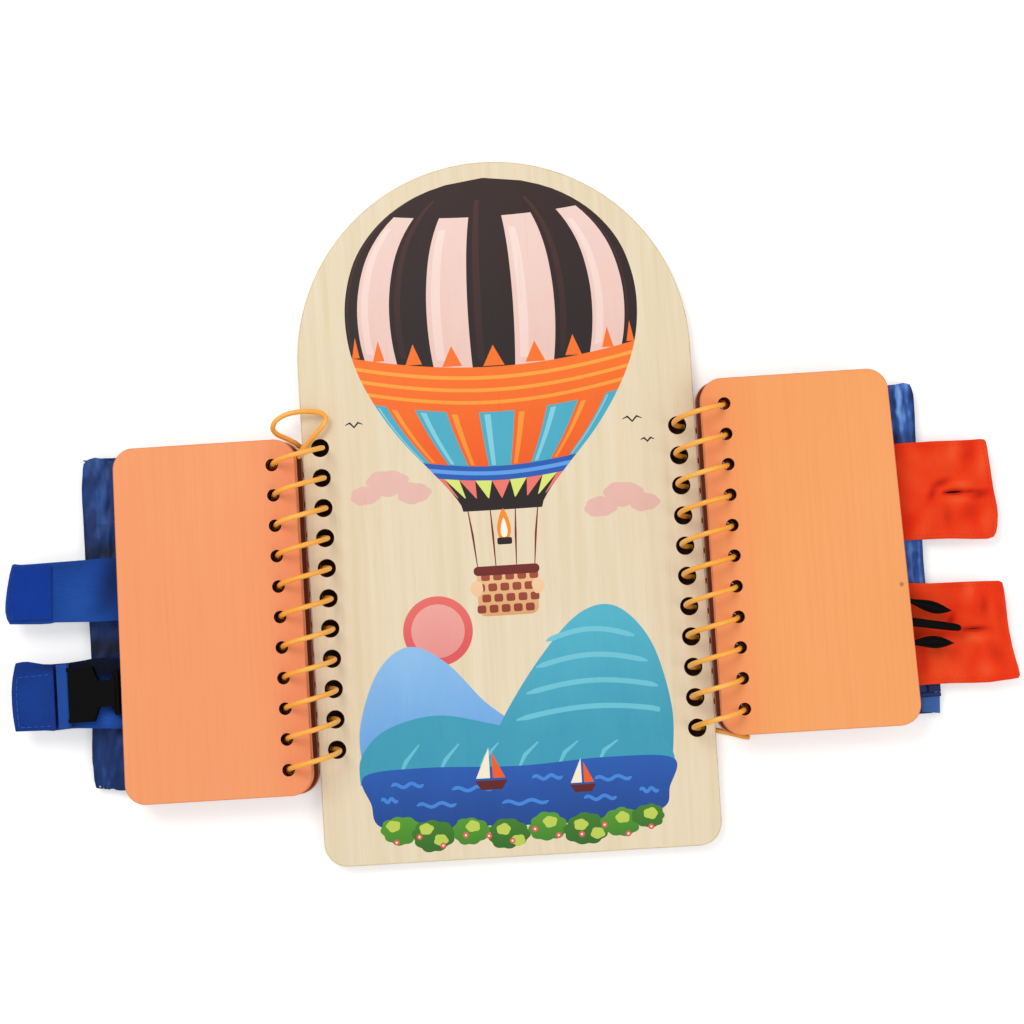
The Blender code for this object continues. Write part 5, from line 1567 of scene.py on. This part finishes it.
class Pad:
    """A stuffed panel sewn flat to its page: its free side faces down and swells between the seams."""

    def __init__(self, node, number, finish, slot, seams, puff, lowest, thread, offsets):
        self.node, self.finish, self.slot, self.thread = node, finish, slot, thread
        self.seams, self.puff, self.lowest, self.offsets = seams, puff, lowest, offsets
        word = node.split("_")[0]
        self.body = f"{word}_leaf_{number}"
        self.side = LEFT if word == "left" else RIGHT
        self.flats = FLATS.get(node, ())
        low, high = span(node)
        ends = sorted((self.side * low.x - EDGE_X, self.side * high.x - EDGE_X))
        self.outs = spaced(*ends, [q[0] for seam in seams for q in seam])
        self.ups = spaced(low.y - PAGE_MID[self.side], high.y - PAGE_MID[self.side],
                          [q[1] for seam in seams for q in seam])
        self.top, self.thick = high.z, high.z - low.z
        self.heights = np.array([[self.start(o, u) for u in self.ups] for o in self.outs])
        self.make()

    def spot(self, out, up, z):
        """A place on the panel, drawn in where its page's edge is."""
        x, y, z = on_page(self.side, out, up, z)
        return *fanned(self.side, x, y, 0), z

    def seam_distance(self, out, up):
        return min(math.hypot(out - clamp(out, *sorted((a, c))), up - clamp(up, *sorted((b, d))))
                   for (a, b), (c, d) in self.seams)

    def edge_distance(self, out, up):
        return min(out - self.outs[0], self.outs[-1] - out, up - self.ups[0], self.ups[-1] - up)

    def start(self, out, up):
        """Height of the free side before it swells."""
        full = 0.25 + 0.55 * (1 - math.exp(-self.edge_distance(out, up) / 1.3))
        drawn = 1 - 0.45 * hump(self.seam_distance(out, up), 0, 0.8)
        return self.top - self.thick * full * drawn

    def rounded(self, out, up):
        r = PAD_CORNER
        near_out = clamp(out, self.outs[0] + r, self.outs[-1] - r)
        near_up = clamp(up, self.ups[0] + r, self.ups[-1] - r)
        x, y = out - near_out, up - near_up
        share = max(abs(x), abs(y)) / math.hypot(x, y) if x and y else 1
        return near_out + x * share, near_up + y * share

    def make(self):
        mesh = bmesh.new()
        rows, columns = len(self.outs), len(self.ups)
        grids, held = [], []
        for face in (0, 1):
            grid = []
            for i, out in enumerate(self.outs):
                for j, up in enumerate(self.ups):
                    rim = i in (0, rows - 1) or j in (0, columns - 1)
                    z = self.heights[i, j] if face else self.top - (0.12 * self.thick if rim else 0)
                    grid.append(mesh.verts.new(Vector(self.spot(*self.rounded(out, up), z)) * MM))
                    flat = any(a <= out <= b and c <= up <= d for a, b, c, d in self.flats)
                    held.append(not face or rim or flat or self.seam_distance(out, up) < 0.3)
            grids.append(grid)
        for face, grid in enumerate(grids):
            for i in range(rows - 1):
                for j in range(columns - 1):
                    corners = [grid[i * columns + j], grid[(i + 1) * columns + j],
                               grid[(i + 1) * columns + j + 1], grid[i * columns + j + 1]]
                    mesh.faces.new(corners if face else corners[::-1])
        border = [i * columns for i in range(rows)]
        border += [(rows - 1) * columns + j for j in range(1, columns)]
        border += [i * columns + columns - 1 for i in range(rows - 2, -1, -1)]
        border += list(range(columns - 2, 0, -1))
        for a, b in zip(border, border[1:] + border[:1]):
            mesh.faces.new((grids[0][a], grids[0][b], grids[1][b], grids[1][a]))
        bmesh.ops.recalc_face_normals(mesh, faces=mesh.faces)
        data = bpy.data.meshes.new(f"{self.node}_cloth")
        mesh.to_mesh(data)
        mesh.free()
        data.shade_smooth()
        data.materials.append(FINISHES[self.finish].material)
        self.thing = link(bpy.data.objects.new(f"{self.node}_cloth", data))
        pins = self.thing.vertex_groups.new(name="pins")
        pins.add([k for k, fixed in enumerate(held) if fixed], 1.0, "REPLACE")
        self.rest = np.array([v.co for v in data.vertices])

    def stuff(self):
        cloth = self.thing.modifiers.new("cloth", "CLOTH")
        cloth.settings.quality = 4
        cloth.settings.mass = 0.15
        cloth.settings.use_pressure = True
        cloth.settings.uniform_pressure_force = 4
        cloth.settings.vertex_group_mass = "pins"
        cloth.settings.effector_weights.gravity = 0
        cloth.point_cache.frame_end = FRAMES

    def settle(self):
        """Keeps the simulated shape, scaled to the puff and kept clear of what lies below."""
        shape = self.thing.evaluated_get(bpy.context.evaluated_depsgraph_get()).to_mesh()
        moved = np.array([v.co for v in shape.vertices]) - self.rest
        self.thing.modifiers.clear()
        size = np.linalg.norm(moved, axis=1)
        if size.any():
            moved = moved * min(self.puff * MM / max(np.percentile(size[size > 0], 97), 1e-9), 40)
        size = np.linalg.norm(moved, axis=1)
        moved *= np.minimum(1, 1.25 * self.puff * MM / np.maximum(size, 1e-12))[:, None]
        places = self.rest + moved
        places[:, 2] = np.maximum(places[:, 2], self.lowest * MM)
        self.thing.data.vertices.foreach_set("co", places.ravel())
        self.thing.data.update()
        count = len(self.outs) * len(self.ups)
        self.heights = places[count:, 2].reshape(len(self.outs), len(self.ups)) / MM

    def height(self, out, up):
        """Height of the free side at a place, between the grid's own."""
        i = clamp(np.searchsorted(self.outs, out) - 1, 0, len(self.outs) - 2)
        j = clamp(np.searchsorted(self.ups, up) - 1, 0, len(self.ups) - 2)
        s = clamp((out - self.outs[i]) / (self.outs[i + 1] - self.outs[i]))
        t = clamp((up - self.ups[j]) / (self.ups[j + 1] - self.ups[j]))
        near, far = self.heights[i:i + 2, j] * (1 - t) + self.heights[i:i + 2, j + 1] * t
        return float(near * (1 - s) + far * s)

    def sew(self):
        """Rides the panel on its page and adds the stitches along its seams."""
        step = self.thing.modifiers.new("subdivide", "SUBSURF")
        step.levels = step.render_levels = 1
        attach(self.thing, self.body)
        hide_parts(self.node)
        mesh = bmesh.new()
        for (a, b), (c, d) in self.seams:
            for offset in self.offsets:
                dx, dy = (offset, 0) if a == c else (0, offset)
                ends = [(clamp(x + dx, self.outs[0] + SEAM_END, self.outs[-1] - SEAM_END),
                         clamp(y + dy, self.ups[0] + SEAM_END, self.ups[-1] - SEAM_END))
                        for x, y in ((a, b), (c, d))]
                stitches(mesh, ends, lambda x, y: max(self.height(x, y) - 0.06, self.lowest + 0.34),
                         2.0, 0.9, self.spot, 0.15)
        piece(f"{self.node}_stitches", mesh, self.thread, self.body, self.slot, smooth=60)


# Page, finish, slot, seams, how far it swells, its lowest height, its thread and its rows of stitches
GARMENTS = {
    "jacket": (1, "denim", "jacket_cloth", JACKET_SEAMS, 1.1, 10.2, "denim_thread", (-0.9, 0.9)),
    "shirt": (2, "shirt", "shirt_cloth", SHIRT_SEAMS, 1.0, 3.95, "shirt_thread", (0.75,)),
    "vest": (3, "vest_satin", "vest_cloth", VEST_SEAMS, 1.0, -2.3, "blue_thread", (0,)),
}
# Where something is sewn on, a panel stays flat: from and to, out and up
FLATS = {
    "left_shirt_panel": [(-22.5, -5.5, up - 8.5, up + 8.5) for up in (UPPER_FLAP_UP, -LOWER_FLAP_DOWN)],
    "right_jacket_panel": [(-36, 0, 2, 32), (-32, 0, -PLUG_DOWN - 12, -PLUG_DOWN + 12)],
}


def panels():
    pads = [Pad(f"{word}_{garment}_panel", *row)
            for word in SIDES.values() for garment, row in GARMENTS.items()]
    for pad in pads:
        pad.stuff()
    for frame_number in range(1, FRAMES + 1):
        bpy.context.scene.frame_set(frame_number)
    for pad in pads:
        pad.settle()
    bpy.context.scene.frame_set(1)
    for pad in pads:
        pad.sew()


camera()
lights()
floor()
board()
pages()
coils()
hook_strap()
buckle_strap()
buckle()
plug()
right_webbing()
flaps()
buttons()
zips()
panels()
